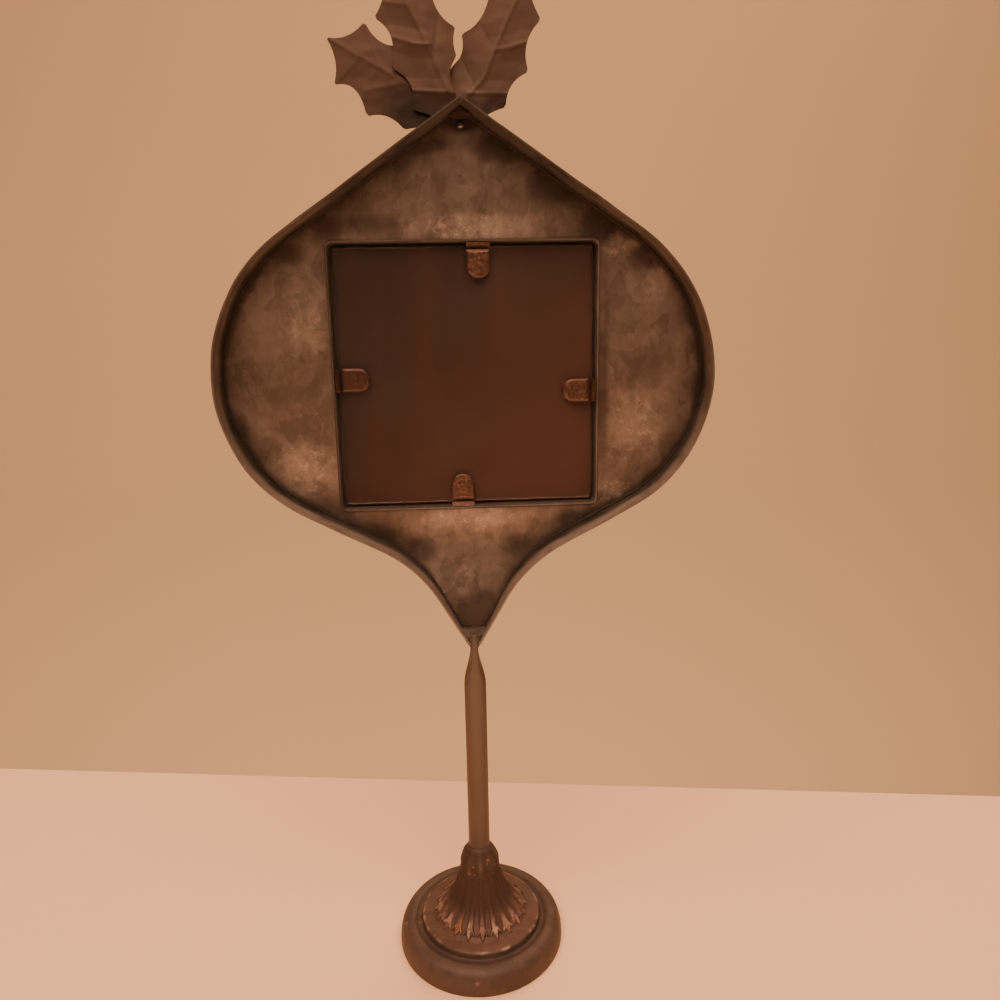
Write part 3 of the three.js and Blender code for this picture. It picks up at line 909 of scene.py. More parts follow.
class FRAME_OT_panel(bpy.types.Operator):
    """Builds the galvanised sheet inside the rim, with its window and its heat marks"""

    bl_idname = "frame.panel"
    bl_label = "Sheet"

    def execute(self, context):
        sizes = context.scene.frame_head
        bm = outline_loop(sizes, sizes.rim_thickness * 0.9, PANEL_LOW.y, PANEL_LOW.z)
        edge_points = [vert.co.copy() for vert in bm.verts]
        self.window(bm, sizes)
        bmesh.ops.triangle_fill(bm, use_beauty=True, edges=bm.edges, normal=FRONT)
        slice_up(bm, FINE_STEP, RIGHT, UP)
        heat, rubbed = paint(bm, "scorched", "rubbed")
        for vert in bm.verts:
            away = min((vert.co - point).length for point in edge_points)
            width = SEAM_WIDTH * (1 + 0.75 * lumps(vert.co, 11 * MM, 3))
            seam = smooth(max(width, 0.9 * MM) * 1.25, 0.4 * MM, away)
            vert[heat] = max(seam, marked(vert.co, HEAT_MARKS))
            vert[rubbed] = marked(vert.co, RUBBED_MARKS)
        for vert in bm.verts:
            vert.co.y += SHEET_WAVE * lumps(vert.co, 28 * MM) - dish(sizes, vert.co.z)
        thicken(bm, Vector((0, PANEL_HIGH.y - PANEL_LOW.y, 0)))
        finish = galvanised_finish(context.scene.frame_colours)
        keep("sheet", bm, finish, ["front_panel"])
        return {"FINISHED"}

    def window(self, bm, sizes):
        """Adds the edges of the tray's window."""
        window = bmesh.new()
        side = TRAY_HIGH.x - TRAY_LOW.x
        rounded_plate(window, side, side, sizes.tray_corner + sizes.tray_wall, 6)
        lay(window, RIGHT, UP, Vector((0, PANEL_LOW.y, HEAD_LEVEL)))
        open_faces(window)
        hole = bpy.data.meshes.new("window")
        window.to_mesh(hole)
        window.free()
        bm.from_mesh(hole)
        bpy.data.meshes.remove(hole)


class FRAME_OT_rim(bpy.types.Operator):
    """Builds the two bent strips of the rim, with rounded arrises and a hand-bent line"""

    bl_idname = "frame.rim"
    bl_label = "Rim"

    def execute(self, context):
        sizes = context.scene.frame_head
        finish = rim_finish(context.scene.frame_colours)
        half_depth = (RIM_HIGH.y - RIM_LOW.y) / 2
        middle = (RIM_LOW.y + RIM_HIGH.y) / 2
        for side, name in HALVES:
            bm = bmesh.new()
            rounded_plate(bm, sizes.rim_thickness, 2 * half_depth, RIM_ARRIS, 2)
            open_faces(bm)
            place = outline_start(sizes, sizes.rim_thickness / 2)
            bend_strip(bm, sizes, place, RIM_SEAM, RIM_LOW.z)
            slice_up(bm, FINE_STEP, -FRONT)
            face_out(bm)
            edge, soot = paint(bm, "edge", "soot")
            # Soot and painted shade on the inner side, near the sheet and under the point.
            for vert in bm.verts:
                vert[soot] = self.inner_soot_and_shade(vert)
            bmesh.ops.scale(bm, verts=bm.verts, vec=(side, 1, 1))
            for vert in bm.verts:
                # Soot and painted shade by height: the strips are painted darker towards the top,
                # where their inner side faces down, away from the light.
                level = vert.co.z - HEAD_LEVEL + 14 * MM * lumps(vert.co, 40 * MM)
                soot_and_shade_by_height = 0.32 * smooth(-40 * MM, 0, level) + 0.36 * smooth(0, 60 * MM, level)
                vert[soot] = max(vert[soot], soot_and_shade_by_height)
                away = abs(vert.co.y - middle)
                vert[edge] = smooth(half_depth - 0.5 * MM, half_depth, away)
                ends = min(vert.co.z - RIM_LOW.z, RIM_HIGH.z - vert.co.z)
                stray = sizes.rim_wobble * smooth(0, 12 * MM, ends) * lumps(vert.co, 24 * MM)
                outward = Vector((vert.co.x, 0, vert.co.z - HEAD_LEVEL)).normalized()
                vert.co += outward * stray
                vert.co.y += 1.2 * stray * FRONT.y
            keep(f"rim_{name}_strip", bm, finish, ["rim_" + name])
        return {"FINISHED"}

    def inner_soot_and_shade(self, vert):
        """Soot and painted shade on the strip's inner side: near the sheet, and all over below the
        point, where that side faces down.
        """
        above = vert.co.z - HEAD_LEVEL
        if vert.normal.x * vert.co.x + vert.normal.z * above >= 0:
            return 0.0
        reach = PANEL_LOW.y - (10 + 4 * lumps(vert.co, 12 * MM)) * MM
        # Painted shade on the inner side under the point, which faces down.
        roof = 0.88 * smooth(45 * MM, 75 * MM, above)
        return max(roof, smooth(reach, PANEL_LOW.y - 4 * MM, vert.co.y))


class FRAME_OT_solder(bpy.types.Operator):
    """Builds the solder: an uneven seam along the rim, and the fillets at the neck and the point"""

    bl_idname = "frame.solder"
    bl_label = "Solder"

    def execute(self, context):
        sizes = context.scene.frame_head
        sooty = solder_finish(context.scene.frame_colours, "Sooty solder", 0.05, 0.1)
        for side, name in HALVES:
            bm = self.seam(sizes, side)
            keep("solder_seam_" + name, bm, sooty, [])
        keep("solder_point", self.point(), sooty, ["apex_weld"])
        finish = solder_finish(context.scene.frame_colours, "Solder", 0.35)
        keep("solder_neck", self.neck(sizes), finish, ["neck_weld"])
        return {"FINISHED"}

    def seam(self, sizes, side):
        """An uneven bead in the corner between the sheet and one half of the rim."""
        bm = bmesh.new()
        bmesh.ops.create_circle(bm, cap_ends=False, radius=BEAD_RADIUS, segments=10)
        place = outline_start(sizes, sizes.rim_thickness + 0.25 * MM)
        place.y = PANEL_LOW.y - 0.1 * MM
        bend_strip(bm, sizes, place, 0, WELD_LOW.z)
        face_out(bm)
        bmesh.ops.scale(bm, verts=bm.verts, vec=(side, 1, 1))
        for vert in bm.verts:
            out = vert.normal * Vector((side, 1, 1))
            swell = lumps(vert.co, 5 * MM, 3) * 0.55 + lumps(vert.co, 17 * MM) * 0.5
            vert.co += out * (swell * BEAD_RADIUS)
            vert.co.y -= dish(sizes, vert.co.z)
        return bm

    def point(self):
        """The fillet under the rim's point."""
        low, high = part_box("apex_weld")
        bm = bmesh.new()
        corners = ((-high.x, 0, low.z), (high.x, 0, low.z), (0, 0, high.z + 0.6 * MM))
        filled(bm, [Vector(corner) for corner in corners])
        self.lump_up(bm, high.y + 0.3 * MM, low.y)
        return bm

    def neck(self, sizes):
        """The bead in the V above the stem, from the sheet to a low front edge."""
        bm = bmesh.new()
        brim = RIM_LOW.z + 5.4 * MM
        bottom, top = (
            Vector((flank_reach(sizes, level) + 0.9 * MM, 0, level)) for level in (RIM_LOW.z, brim)
        )
        half = [Vector((1.3 * MM, 0, RIM_LOW.z - 2.5 * MM))]
        half += [bottom.lerp(top, share) for share in (0, 0.25, 0.5, 0.75, 1)]
        filled(bm, half + [point * Vector((-1, 1, 1)) for point in reversed(half)])
        self.lump_up(bm, PANEL_LOW.y - sizes.neck_dish + 2 * MM, WELD_LOW.y, self.ramp)
        return bm

    def ramp(self, place):
        """Lowers the neck's solder from its brim at the sheet to a low front edge."""
        forward = smooth(-2.5 * MM, WELD_LOW.y, place.y)
        above = place.z - RIM_LOW.z
        if above > 0:
            lowered = above * (1 - 0.4 * forward)
            place.x *= (1.6 * MM + 0.577 * lowered) / (1.6 * MM + 0.577 * above)
            place.z = RIM_LOW.z + lowered

    def lump_up(self, bm, back, front, form=None):
        """Thickens a flat shape in the XZ plane, forms it and makes it a rounded, uneven lump."""
        move(bm, (0, back, 0))
        thicken(bm, Vector((0, front - back, 0)))
        bmesh.ops.triangulate(bm, faces=bm.faces)
        slice_up(bm, 0.7 * MM, RIGHT, UP, -FRONT)
        for vert in bm.verts if form else ():
            form(vert.co)
        for _ in range(3):
            bmesh.ops.smooth_vert(
                bm, verts=bm.verts, factor=0.5, use_axis_x=True, use_axis_y=True, use_axis_z=True
            )
        face_out(bm)
        for vert in bm.verts:
            vert.co += vert.normal * (0.35 * MM * lumps(vert.co, 2.5 * MM) + 0.35 * MM)


# ---- the tray, the glass and the tabs ----


class FRAME_OT_tray(bpy.types.Operator):
    """Builds the square tray with its rolled lip"""

    bl_idname = "frame.tray"
    bl_label = "Tray"

    def execute(self, context):
        sizes = context.scene.frame_head
        side = TRAY_HIGH.x - TRAY_LOW.x
        corner = sizes.tray_corner + sizes.tray_wall
        bm = plate(side, corner, 8, TRAY_LOW.y, TRAY_HIGH.y)
        lip = min(bm.faces, key=lambda face: face.calc_center_median().y + abs(face.normal.z))
        bmesh.ops.inset_region(bm, faces=[lip], thickness=sizes.tray_wall, use_even_offset=True)
        made = bmesh.ops.extrude_face_region(bm, geom=[lip])["geom"]
        sunk = [part for part in made if isinstance(part, bmesh.types.BMVert)]
        depth = TRAY_HIGH.y - sizes.tray_wall - TRAY_LOW.y
        bmesh.ops.translate(bm, verts=sunk, vec=(0, depth, 0))
        bmesh.ops.delete(bm, geom=[lip], context="FACES_ONLY")
        face_out(bm)
        arris = [
            edge
            for level in (TRAY_LOW.y, TRAY_HIGH.y)
            for edge in bm.edges
            if all(abs(vert.co.y - level) < TOUCH for vert in edge.verts)
            and edge.calc_face_angle(0) > 1
        ]
        round_off(bm, arris, 0.3 * MM, 3)
        slice_up(bm, 5 * MM, RIGHT, UP)
        edge, worn = paint(bm, "edge", "worn")
        for vert in bm.verts:
            right, above = vert.co.x, vert.co.z - HEAD_LEVEL
            vert[edge] = smooth(TRAY_LOW.y + 0.6 * MM, TRAY_LOW.y, vert.co.y)
            # Painted highlight: a light line along the inner lip, brightest on the right, weaker at
            # the bottom, faint at the top and the left, uneven along its length.
            within = side / 2 - max(abs(right), abs(above))
            side_highlight = 0.8 if right > abs(above) else 0.35 if above < -abs(right) else 0.15
            rubbed = smooth(0.4 * MM, 0.8 * MM, within) * (0.6 + 0.8 * lumps(vert.co, 11 * MM))
            vert[worn] = side_highlight * vert[edge] * rubbed
        finish = rim_finish(context.scene.frame_colours, "Tray steel", 0.4, 0.15)
        keep("tray", bm, finish, ["photo_tray"], crease=12)
        return {"FINISHED"}


class FRAME_OT_glass(bpy.types.Operator):
    """Builds the pane with its ground arris"""

    bl_idname = "frame.glass"
    bl_label = "Glass"

    def execute(self, context):
        bm = plate(GLASS_HIGH.x - GLASS_LOW.x, 0.8 * MM, 4, GLASS_LOW.y, GLASS_HIGH.y)
        drops = ((edge, edge.verts[0].co.y - edge.verts[1].co.y) for edge in bm.edges)
        arris = [edge for edge, drop in drops if abs(drop) < TOUCH]
        round_off(bm, arris, 0.35 * MM, 2)
        keep("pane", bm, glass_finish(), ["glass_pane"], crease=12)
        return {"FINISHED"}


# Each tab's side of the tray, its quarter turns from the top and how dull its copper is.
TABS = (("top", 0, 0.0), ("right", -1, 0.2), ("bottom", 2, 0.1), ("left", 1, 0.8))
TAB_THICKNESS = 0.8 * MM
WRINKLE_SEED = 7


def wrinkles(place, seed):
    """Height of the hammered wrinkles between 0 and 1."""
    shifted = place + Vector((seed, seed * 0.37, -seed * 0.61))
    stray = shifted + 0.9 * MM * noise.noise_vector(shifted / (2.2 * MM))
    near = noise.voronoi(stray / (1.5 * MM))[0]
    ridge = min(1.0, (near[1] - near[0]) * 1.5)
    return 0.65 * ridge + 0.35 * (0.5 + 0.5 * noise.noise(shifted / (0.8 * MM)))


class FRAME_OT_tabs(bpy.types.Operator):
    """Builds the four wrinkled tabs that bend over the glass, and their fixed roots"""

    bl_idname = "frame.tabs"
    bl_label = "Tabs"

    def execute(self, context):
        height = context.scene.frame_head.tab_wrinkle
        finish = copper_finish(context.scene.frame_colours)
        noise.seed_set(WRINKLE_SEED)
        for rank, (side, turns, tarnish) in enumerate(TABS, 1):
            turn = Matrix.Rotation(turns * QUARTER, 4, FRONT)
            to_head = Matrix.Translation(UP * HEAD_LEVEL) @ turn
            for kind, body, shape, seed in (
                ("tab_", side + "_tab", self.leaf, 0.013),
                ("tab_root_", "frame", self.root, 0.017),
            ):
                node = kind + side
                corners = [to_head.inverted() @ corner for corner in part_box(node)]
                low, high = Vector(map(min, *corners)), Vector(map(max, *corners))
                bm = bmesh.new()
                shape(bm, low, high, height, seed * rank)
                bmesh.ops.transform(bm, matrix=to_head, verts=bm.verts)
                (dull,) = paint(bm, "dull")
                for vert in bm.verts:
                    vert[dull] = tarnish
                keep(node + "_copper", bm, finish, [node], body, 60)
        return {"FINISHED"}

    def leaf(self, bm, low, high, height, seed):
        """The leaf of a tab, from its bend line down over the glass, wrinkled on its front."""
        width = high.x - low.x
        flat_face(bm, width, high.z - low.z)
        lay(bm, RIGHT, UP, (low + high) / 2 * Vector((1, 0, 1)) + Vector((0, high.y, 0)))
        free_end = [vert for vert in bm.verts if vert.co.z < low.z + TOUCH]
        round_off(bm, free_end, 0.47 * width, 8, "VERTICES")
        outline = [[vert.co.copy() for vert in edge.verts] for edge in bm.edges]
        thicken(bm, Vector((0, low.y - high.y, 0)))
        bmesh.ops.triangulate(bm, faces=bm.faces)
        slice_up(bm, 0.45 * MM, RIGHT, UP)
        (crest,) = paint(bm, "crest")
        for vert in bm.verts:
            vert[crest] = 0.35
            if vert.co.y > (low.y + high.y) / 2:
                continue
            away = min(distance_to(vert.co, a, b) for a, b in outline)
            rounding = smooth(0, 0.8 * MM, away)
            bend = smooth(0.2 * MM, 1.6 * MM, high.z - vert.co.z)
            rise = wrinkles(vert.co, seed)
            # The wrinkles' height, which the finish turns into painted highlight and painted shade.
            vert[crest] = rise * (0.4 + 0.6 * rounding)
            vert.co.y += FRONT.y * height * rise * rounding * bend
            vert.co.y -= FRONT.y * 0.3 * MM * (1 - rounding)

    def root(self, bm, low, high, height, seed):
        """The fixed end: a slanted strip from the tray's lip down to the bend line."""
        levels = (low.y + TAB_THICKNESS, low.y, high.y - TAB_THICKNESS, high.y)
        ends = (high.z, high.z, low.z, low.z)
        filled(bm, [Vector((0, level, end)) for level, end in zip(levels, ends)])
        move(bm, (low.x, 0, 0))
        thicken(bm, RIGHT * (high.x - low.x))
        bmesh.ops.triangulate(bm, faces=bm.faces)
        slice_up(bm, 0.4 * MM, RIGHT, UP)
        (crest,) = paint(bm, "crest")
        face_out(bm)
        for vert in bm.verts:
            rise = wrinkles(vert.co, seed)
            # The wrinkles' height, which the finish turns into painted highlight and painted shade.
            vert[crest] = rise * (0.6 + 0.6 * lumps(vert.co, 2 * MM))
            side = smooth(0, 0.7 * MM, min(vert.co.x - low.x, high.x - vert.co.x))
            slack = smooth(0, 0.5 * MM, vert.co.z - low.z)
            if vert.normal.y < -0.2:
                vert.co.y += FRONT.y * height * rise * side * slack


# ---- the leaves and their rivet ----

# The leaves, in millimetres right of and above the rivet. Each outline runs from one side of
# the tang to the other: a control point and then a corner, in pairs. Each crease is a line of
# points with its height as a share of the main one and its half width.
LEAF_PLANS = {
    "leaf_left": {
        "lean": 62,
        "forward": False,
        "outline": (
            ((-14, 16), (-17, 29.5)),
            ((-28.5, 24.2), (-34, 35.8)),
            ((-39.9, 28.9), (-48.3, 30.5)),
            ((-43.3, 22.5), (-46.4, 14.5)),
            ((-37.2, 17.2), (-34.9, 3.8)),
            ((-26.7, 6.2), (-21, -0.9)),
            ((-13, 1.6), None),
        ),
        "creases": (
            (((-48.3, 30.5), (-37, 24.4), (-24.7, 18), (-8, 8)), 0.65, 11),
            (((-34.8, 12.6), (-20.4, 15.3)), 0.45, 5),
            (((-34, 35.8), (-29.5, 21)), 0.35, 6),
            (((-46.4, 14.5), (-36, 24)), 0.35, 6),
        ),
    },
    "leaf_middle": {
        "lean": 26,
        "forward": True,
        "outline": (
            ((0.5, 6), (-1.7, 11.5)),
            ((-5.6, 17.5), (-0.7, 24)),
            ((-2.6, 28.5), (-0.9, 33.6)),
            ((-9, 37), (-10.5, 50)),
            ((-16, 46), (-24.1, 52.5)),
            ((-25.5, 43), (-30.3, 36.4)),
            ((-21.5, 32.5), (-24.8, 19.8)),
            ((-14.9, 15.6), (-17.7, 5.5)),
            ((-9, 4), None),
        ),
        "creases": (
            (((-4.4, 12.2), (-11.2, 27.5), (-18, 40.5), (-24.1, 52.5)), 1.0, 8),
            (((-11.2, 27.5), (-16, 27.8), (-24, 30)), 0.75, 4.5),
            (((-9, 25.5), (-6.7, 39), (-9, 48)), -0.6, 4),
            (((-18.7, 40.5), (-29, 42)), 0.6, 5),
            (((-1.7, 11.2), (-17.5, 12.2)), 0.8, 4.5),
        ),
    },
    "leaf_right": {
        "lean": -29.5,
        "forward": False,
        "outline": (
            ((9.5, 5.5), (17.5, 7.2)),
            ((17.9, 16.5), (26.3, 19.5)),
            ((22.7, 29.7), (31.1, 37.2)),
            ((27, 43.3), (26.2, 50.6)),
            ((19.5, 47.5), (12.6, 48.5)),
            ((10.8, 35.5), (1.4, 32.2)),
            ((2.6, 27), (0.1, 23.5)),
            ((-10, 15), None),
        ),
        "creases": (
            (((4, 11.5), (9.3, 17), (13.6, 26.8), (19.8, 39.5), (26.2, 50.6)), 1.0, 9),
            (((13.6, 26.8), (18, 27.2), (25.5, 29.5)), 0.75, 4.5),
            (((12.8, 27.2), (8.3, 35.5), (10, 42)), -0.6, 4),
            (((4, 11.8), (18.5, 11.8)), 0.8, 4.5),
            (((-0.5, 27), (6.5, 13)), -0.5, 4),
        ),
    },
}
TANG_HALF_WIDTH = 3.4 * MM
FOLD_WIDTH = 1.1 * MM


def on_leaf(point):
    """A place in the leaves' plane from millimetres right of and above the rivet."""
    return Vector((point[0] * MM, 0, RIVET_LEVEL + point[1] * MM))


class FRAME_OT_leaves(bpy.types.Operator):
    """Builds the three pressed holly leaves with their creases"""

    bl_idname = "frame.leaves"
    bl_label = "Leaves"

    def execute(self, context):
        relief = context.scene.frame_head.leaf_relief
        finish = coat_finish(context.scene.frame_colours.leaf, "Leaf coat")
        centre = on_leaf((0, 0))
        for name, plan in LEAF_PLANS.items():
            low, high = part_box(name)
            bm = bmesh.new()
            self.outline(bm, plan)
            bmesh.ops.triangle_fill(bm, use_beauty=True, edges=bm.edges, normal=FRONT)
            slice_up(bm, 0.6 * MM, RIGHT, UP)
            (shadow,) = paint(bm, "shadow")
            for vert in bm.verts:
                away = (vert.co - centre).length
                foot = vert.co.z - centre.z - 0.25 * abs(vert.co.x)
                foot += 3 * MM * lumps(vert.co, 9 * MM)
                vert[shadow] = 0.9 * smooth(13 * MM, 1 * MM, foot)
                vert[shadow] *= smooth(36 * MM, 20 * MM, abs(vert.co.x))
                height = self.pressed(vert.co, plan["creases"])
                height *= relief * smooth(5 * MM, 13 * MM, away)
                sunk = 0 if plan["forward"] else relief * smooth(6 * MM, 16 * MM, away)
                vert.co.y = low.y - height + sunk
                vert.co.y += 0.12 * MM * lumps(vert.co, 6 * MM)
            thicken(bm, Vector((0, high.y - low.y, 0)))
            keep(name + "_pressed", bm, finish, [name], crease=50)
        return {"FINISHED"}

    def outline(self, bm, plan):
        """The closed outline: the tang's round end about the rivet, then the spines."""
        lean = math.radians(plan["lean"])
        across = heading_vector(lean) * TANG_HALF_WIDTH
        below = heading_vector(lean - QUARTER) * TANG_HALF_WIDTH
        centre = on_leaf((0, 0))
        last = centre - across
        points = curve(last, last + below, centre + below, 5)
        points += curve(centre + below, centre + below + across, centre + across, 5)
        start = points[-1]
        for control, corner in plan["outline"]:
            end = last if corner is None else on_leaf(corner)
            points += curve(start, on_leaf(control), end, 20)[:-1]
            start = end
        chain(bm, points + [last], closed=True)
        merge(bm, 0.05 * MM)

    def pressed(self, place, creases):
        """Height of the pressed relief as a share of the main crease."""
        total = 0.0
        for points, share, half_width in creases:
            line = [on_leaf(point) for point in points]
            away = min(distance_to(place, a, b) for a, b in zip(line, line[1:]))
            total += share * 0.5 * max(0.0, 1 - away / (half_width * MM))
            total += share * 0.2 * max(0.0, 1 - away / FOLD_WIDTH)
        return total


class FRAME_OT_rivet(bpy.types.Operator):
    """Builds the domed rivet that holds the leaves to the sheet"""

    bl_idname = "frame.rivet"
    bl_label = "Rivet"

    def execute(self, context):
        radius = 0.8 * (RIVET_HIGH.x - RIVET_LOW.x) / 2
        shank = radius * 0.7
        head = 1.1 * MM
        front, back = RIVET_LOW.y, RIVET_HIGH.y
        corners = (
            (0, front),
            (radius, front),
            (radius, front + head),
            (shank, front + head),
            (shank, back - head),
            (radius, back - head),
            (radius, back),
            (0, back),
        )
        corners = [Vector((reach, level, 0)) for reach, level in corners]
        points = corners[:1] + curve(*corners[:3], 6) + corners[3:6] + curve(*corners[5:], 6)
        bm = bmesh.new()
        bmesh.ops.spin(
            bm,
            geom=chain(bm, points),
            cent=(0, 0, 0),
            axis=FRONT,
            angle=FULL_TURN,
            steps=32,
            use_merge=True,
        )
        merge(bm)
        move(bm, UP * RIVET_LEVEL)
        keep("rivet", bm, rivet_finish(context.scene.frame_colours), ["leaf_rivet"])
        return {"FINISHED"}


# ---- the stem and the base ----

STEM_SWELL = 0.09
STEM_TAPER = 17 * MM
TONGUE_HALF_THICKNESS = 1.55 * MM
TONGUE_FLATNESS = 2.2


class FRAME_OT_stem(bpy.types.Operator):
    """Builds the stem: a tube that is squeezed flat at its top"""

    bl_idname = "frame.stem"
    bl_label = "Stem"

    def execute(self, context):
        radius = STEM_HIGH.x
        taper_top = RIM_LOW.z - 4 * MM
        bm = bmesh.new()
        bmesh.ops.create_circle(bm, cap_ends=True, radius=radius, segments=56)
        move(bm, UP * STEM_LOW.z)
        thicken(bm, UP * (STEM_HIGH.z - STEM_LOW.z))
        slice_up(bm, 1.5 * MM, UP)
        (shadow,) = paint(bm, "shadow")
        for vert in bm.verts:
            level = vert.co.z
            swell = 1 + STEM_SWELL * smooth(BASE_TOP - 4 * MM, BASE_TOP - 1 * MM, level)
            across = max(-1.0, min(1.0, vert.co.x / radius * TONGUE_FLATNESS))
            vert.co.x *= swell
            vert.co.y *= swell
            squeeze = smooth(taper_top - STEM_TAPER, taper_top, level)
            vert.co.x += (TONGUE_HALF_THICKNESS * across - vert.co.x) * squeeze
            vert.co.y += (STEM_HIGH.y / radius / swell - 1) * vert.co.y * squeeze
            vert[shadow] = 0.25 * smooth(56 * MM, 46 * MM, level) + 0.2 * squeeze
        finish = coat_finish(context.scene.frame_colours.coat, "Stem coat")
        keep("stem", bm, finish, ["stem_tube"])
        return {"FINISHED"}


# The base's profile, in millimetres: radius, height, and how far before and after the corner
# its rounding reaches.
BASE_PROFILE = (
    (31.4, 0, 0.6, 0.6),
    (36.9, 0, 0.9, 0.9),
    (36.9, 10.7, 9.2, 5.4),
    (30.2, 10.7, 1.3, 1.0),
    (28.9, 9.3, 0.7, 0.9),
    (26.9, 9.3, 0.6, 0.6),
    (26.7, 12.4, 1.1, 1.1),
    (21.6, 12.7, 0.5, 0.5),
    (13.0, 17.0, 8.6, 18.0),
    (9.0, 35.2, 0.6, 0.5),
    (8.8, 36.2, 0.5, 0.6),
    (9.0, 38.4, 1.2, 1.2),
    (7.7, 43.0, 3.0, 2.4),
    (4.9, 46.6, 0.1, 0.1),
    (4.6, 46.6, 0.1, 0.1),
    (4.6, 21.6, 0, 0),
    (1.8, 21.6, 0, 0),
    (1.8, 6.0, 0, 0),
    (31.4, 6.0, 0.8, 0.8),
)
PROFILE_STEP = 0.55
PETAL_STEPS = 26
GILT_PETAL = -2
COLLAR_FOOT = 34
# Chips in the coat: degrees round from the front, height and half width in millimetres.
CHIPS = ((-5, 6.5, 0.9), (-84, 9.5, 0.8), (150, 6, 1.0))


class FRAME_OT_base(bpy.types.Operator):
    """Builds the cast base with its dome, ring, petals, fluted column and collar"""

    bl_idname = "frame.base"
    bl_label = "Base"

    def execute(self, context):
        sizes = context.scene.frame_base
        bm = bmesh.new()
        turn = FULL_TURN / sizes.petal_count
        section = chain(bm, self.profile(), closed=True)
        bmesh.ops.spin(bm, geom=section, cent=(0, 0, 0), axis=UP, angle=turn, steps=PETAL_STEPS)
        bmesh.ops.spin(
            bm,
            geom=everything(bm),
            cent=(0, 0, 0),
            axis=UP,
            angle=FULL_TURN - turn,
            steps=sizes.petal_count - 1,
            use_duplicate=True,
        )
        merge(bm)
        face_out(bm)
        layers = paint(bm, "worn", "hollow", "gilt", "ruddy")
        moves = [(vert, self.relief(vert, sizes, layers)) for vert in bm.verts]
        for vert, offset in moves:
            vert.co += offset
        keep("base", bm, cast_finish(context.scene.frame_colours), ["base_casting"])
        return {"FINISHED"}

    def profile(self):
        """Points of the closed profile in the XZ plane."""
        corners = [Vector((radius, 0, height)) for radius, height, _, _ in BASE_PROFILE]
        points = []
        for i, (corner, (_, _, before, after)) in enumerate(zip(corners, BASE_PROFILE)):
            if before + after == 0:
                points.append(corner)
                continue
            coming = corners[(i + 1) % len(corners)]
            start = corner + (corners[i - 1] - corner).normalized() * before
            end = corner + (coming - corner).normalized() * after
            steps = max(3, math.ceil((before + after) / PROFILE_STEP))
            points += [start] + curve(start, corner, end, steps)
        return [point * MM for point in points]

    def relief(self, vert, sizes, layers):
        """How far a point of the turned surface moves for petals, flutes and lobes.

        It also paints the point. Radius, height and side are in millimetres here.
        """
        place = vert.co
        radius, height = math.hypot(place.x, place.y) / MM, place.z / MM
        outside = vert.normal.z > 0.05 or vert.normal.dot(place * Vector((1, 1, 0))) > 0
        if not outside or height < 1:
            return Vector()
        turn = math.atan2(place.x, -place.y)
        broken = smooth(-0.05, 0.35, lumps(place, 6 * MM, 3))
        # Wear and a painted highlight along the ring's edge, and wear in the chips.
        on_ring = smooth(1.0, 0.2, math.hypot(radius - 26.4, height - 12.2))
        worn = max(0.8 * on_ring * broken, 0.4 * self.chipped(place, turn, radius, height))
        ruddy = smooth(27, 25.5, radius) * smooth(12.5, 15, radius)
        # Painted shade in the groove round the ring.
        groove = smooth(31, 29.5, radius) * smooth(25.5, 26.6, radius)
        hollow = 0.35 * groove * smooth(1.2, 0.2, height - 8.9)
        gilt = 0.0
        rise = 0.05 * MM * lumps(place, 7 * MM)
        if 8.7 < radius < 23 and height < COLLAR_FOOT:
            petal_turn = FULL_TURN / sizes.petal_count
            index = round(turn / petal_turn)
            side = (turn - index * petal_turn) * radius
            raised = self.petal(1.03 * radius, side, sizes.petal_width / MM)
            fade = smooth(11, 16.5, radius)
            flute = (1 - math.cos(2 * math.pi * side / (petal_turn * radius))) / 2
            on_flare = smooth(18, 14.5, radius)
            rise += sizes.petal_height * raised * fade
            rise -= sizes.flute_depth * flute * (1 - 0.6 * fade) * on_flare
            luck = smooth(-0.35, 0.35, noise.noise(Vector((index * 1.7, 3.1, 0.4))))
            bright = smooth(14, 17.5, radius) * smooth(0.35, 0.9, raised) * (0.2 + 0.8 * luck)
            worn = max(worn, bright * smooth(-0.5, 0.3, lumps(place, 2 * MM)))
            gilt = 1.0 if index == GILT_PETAL else 0.0
            # Painted shade between the ribs; the column is painted darker as well.
            valley = (1 - raised) * smooth(21, 18.5, radius)
            hollow = max(0.2 * valley * flute, 0.8 * smooth(16, 12.5, radius), hollow)
        elif height > COLLAR_FOOT and radius > 5:
            bulge = smooth(COLLAR_FOOT, 38, height) * smooth(47, 43, height)
            lobe = 0.5 + 0.5 * math.cos(10 * turn)
            rise += (0.2 * MM * lumps(place, 3.5 * MM) - sizes.collar_lobe * (1 - lobe)) * bulge
            # Painted glints on the collar.
            glint = smooth(0.5, 0.75, lumps(place, 2.2 * MM, 3))
            worn = 0.5 * (glint + 0.2 * smooth(0.7, 1.0, lobe) * broken) * bulge
            # Painted shade between the collar's lobes; the collar is painted darker as well.
            hollow = 0.8 - 0.25 * lobe * bulge
        for layer, value in zip(layers, (worn, hollow, gilt, ruddy)):
            vert[layer] = value
        return vert.normal * rise

    def chipped(self, place, turn, radius, height):
        """How far a place lies in a chip, from 0 to 1."""
        most = 0.0
        for chip_turn, chip_height, half_width in CHIPS:
            across = (turn - math.radians(chip_turn)) * radius
            away = math.hypot(across, height - chip_height) / half_width
            most = max(most, smooth(1.2, 0.6, away + 0.5 * lumps(place, 1.2 * MM)))
        return most

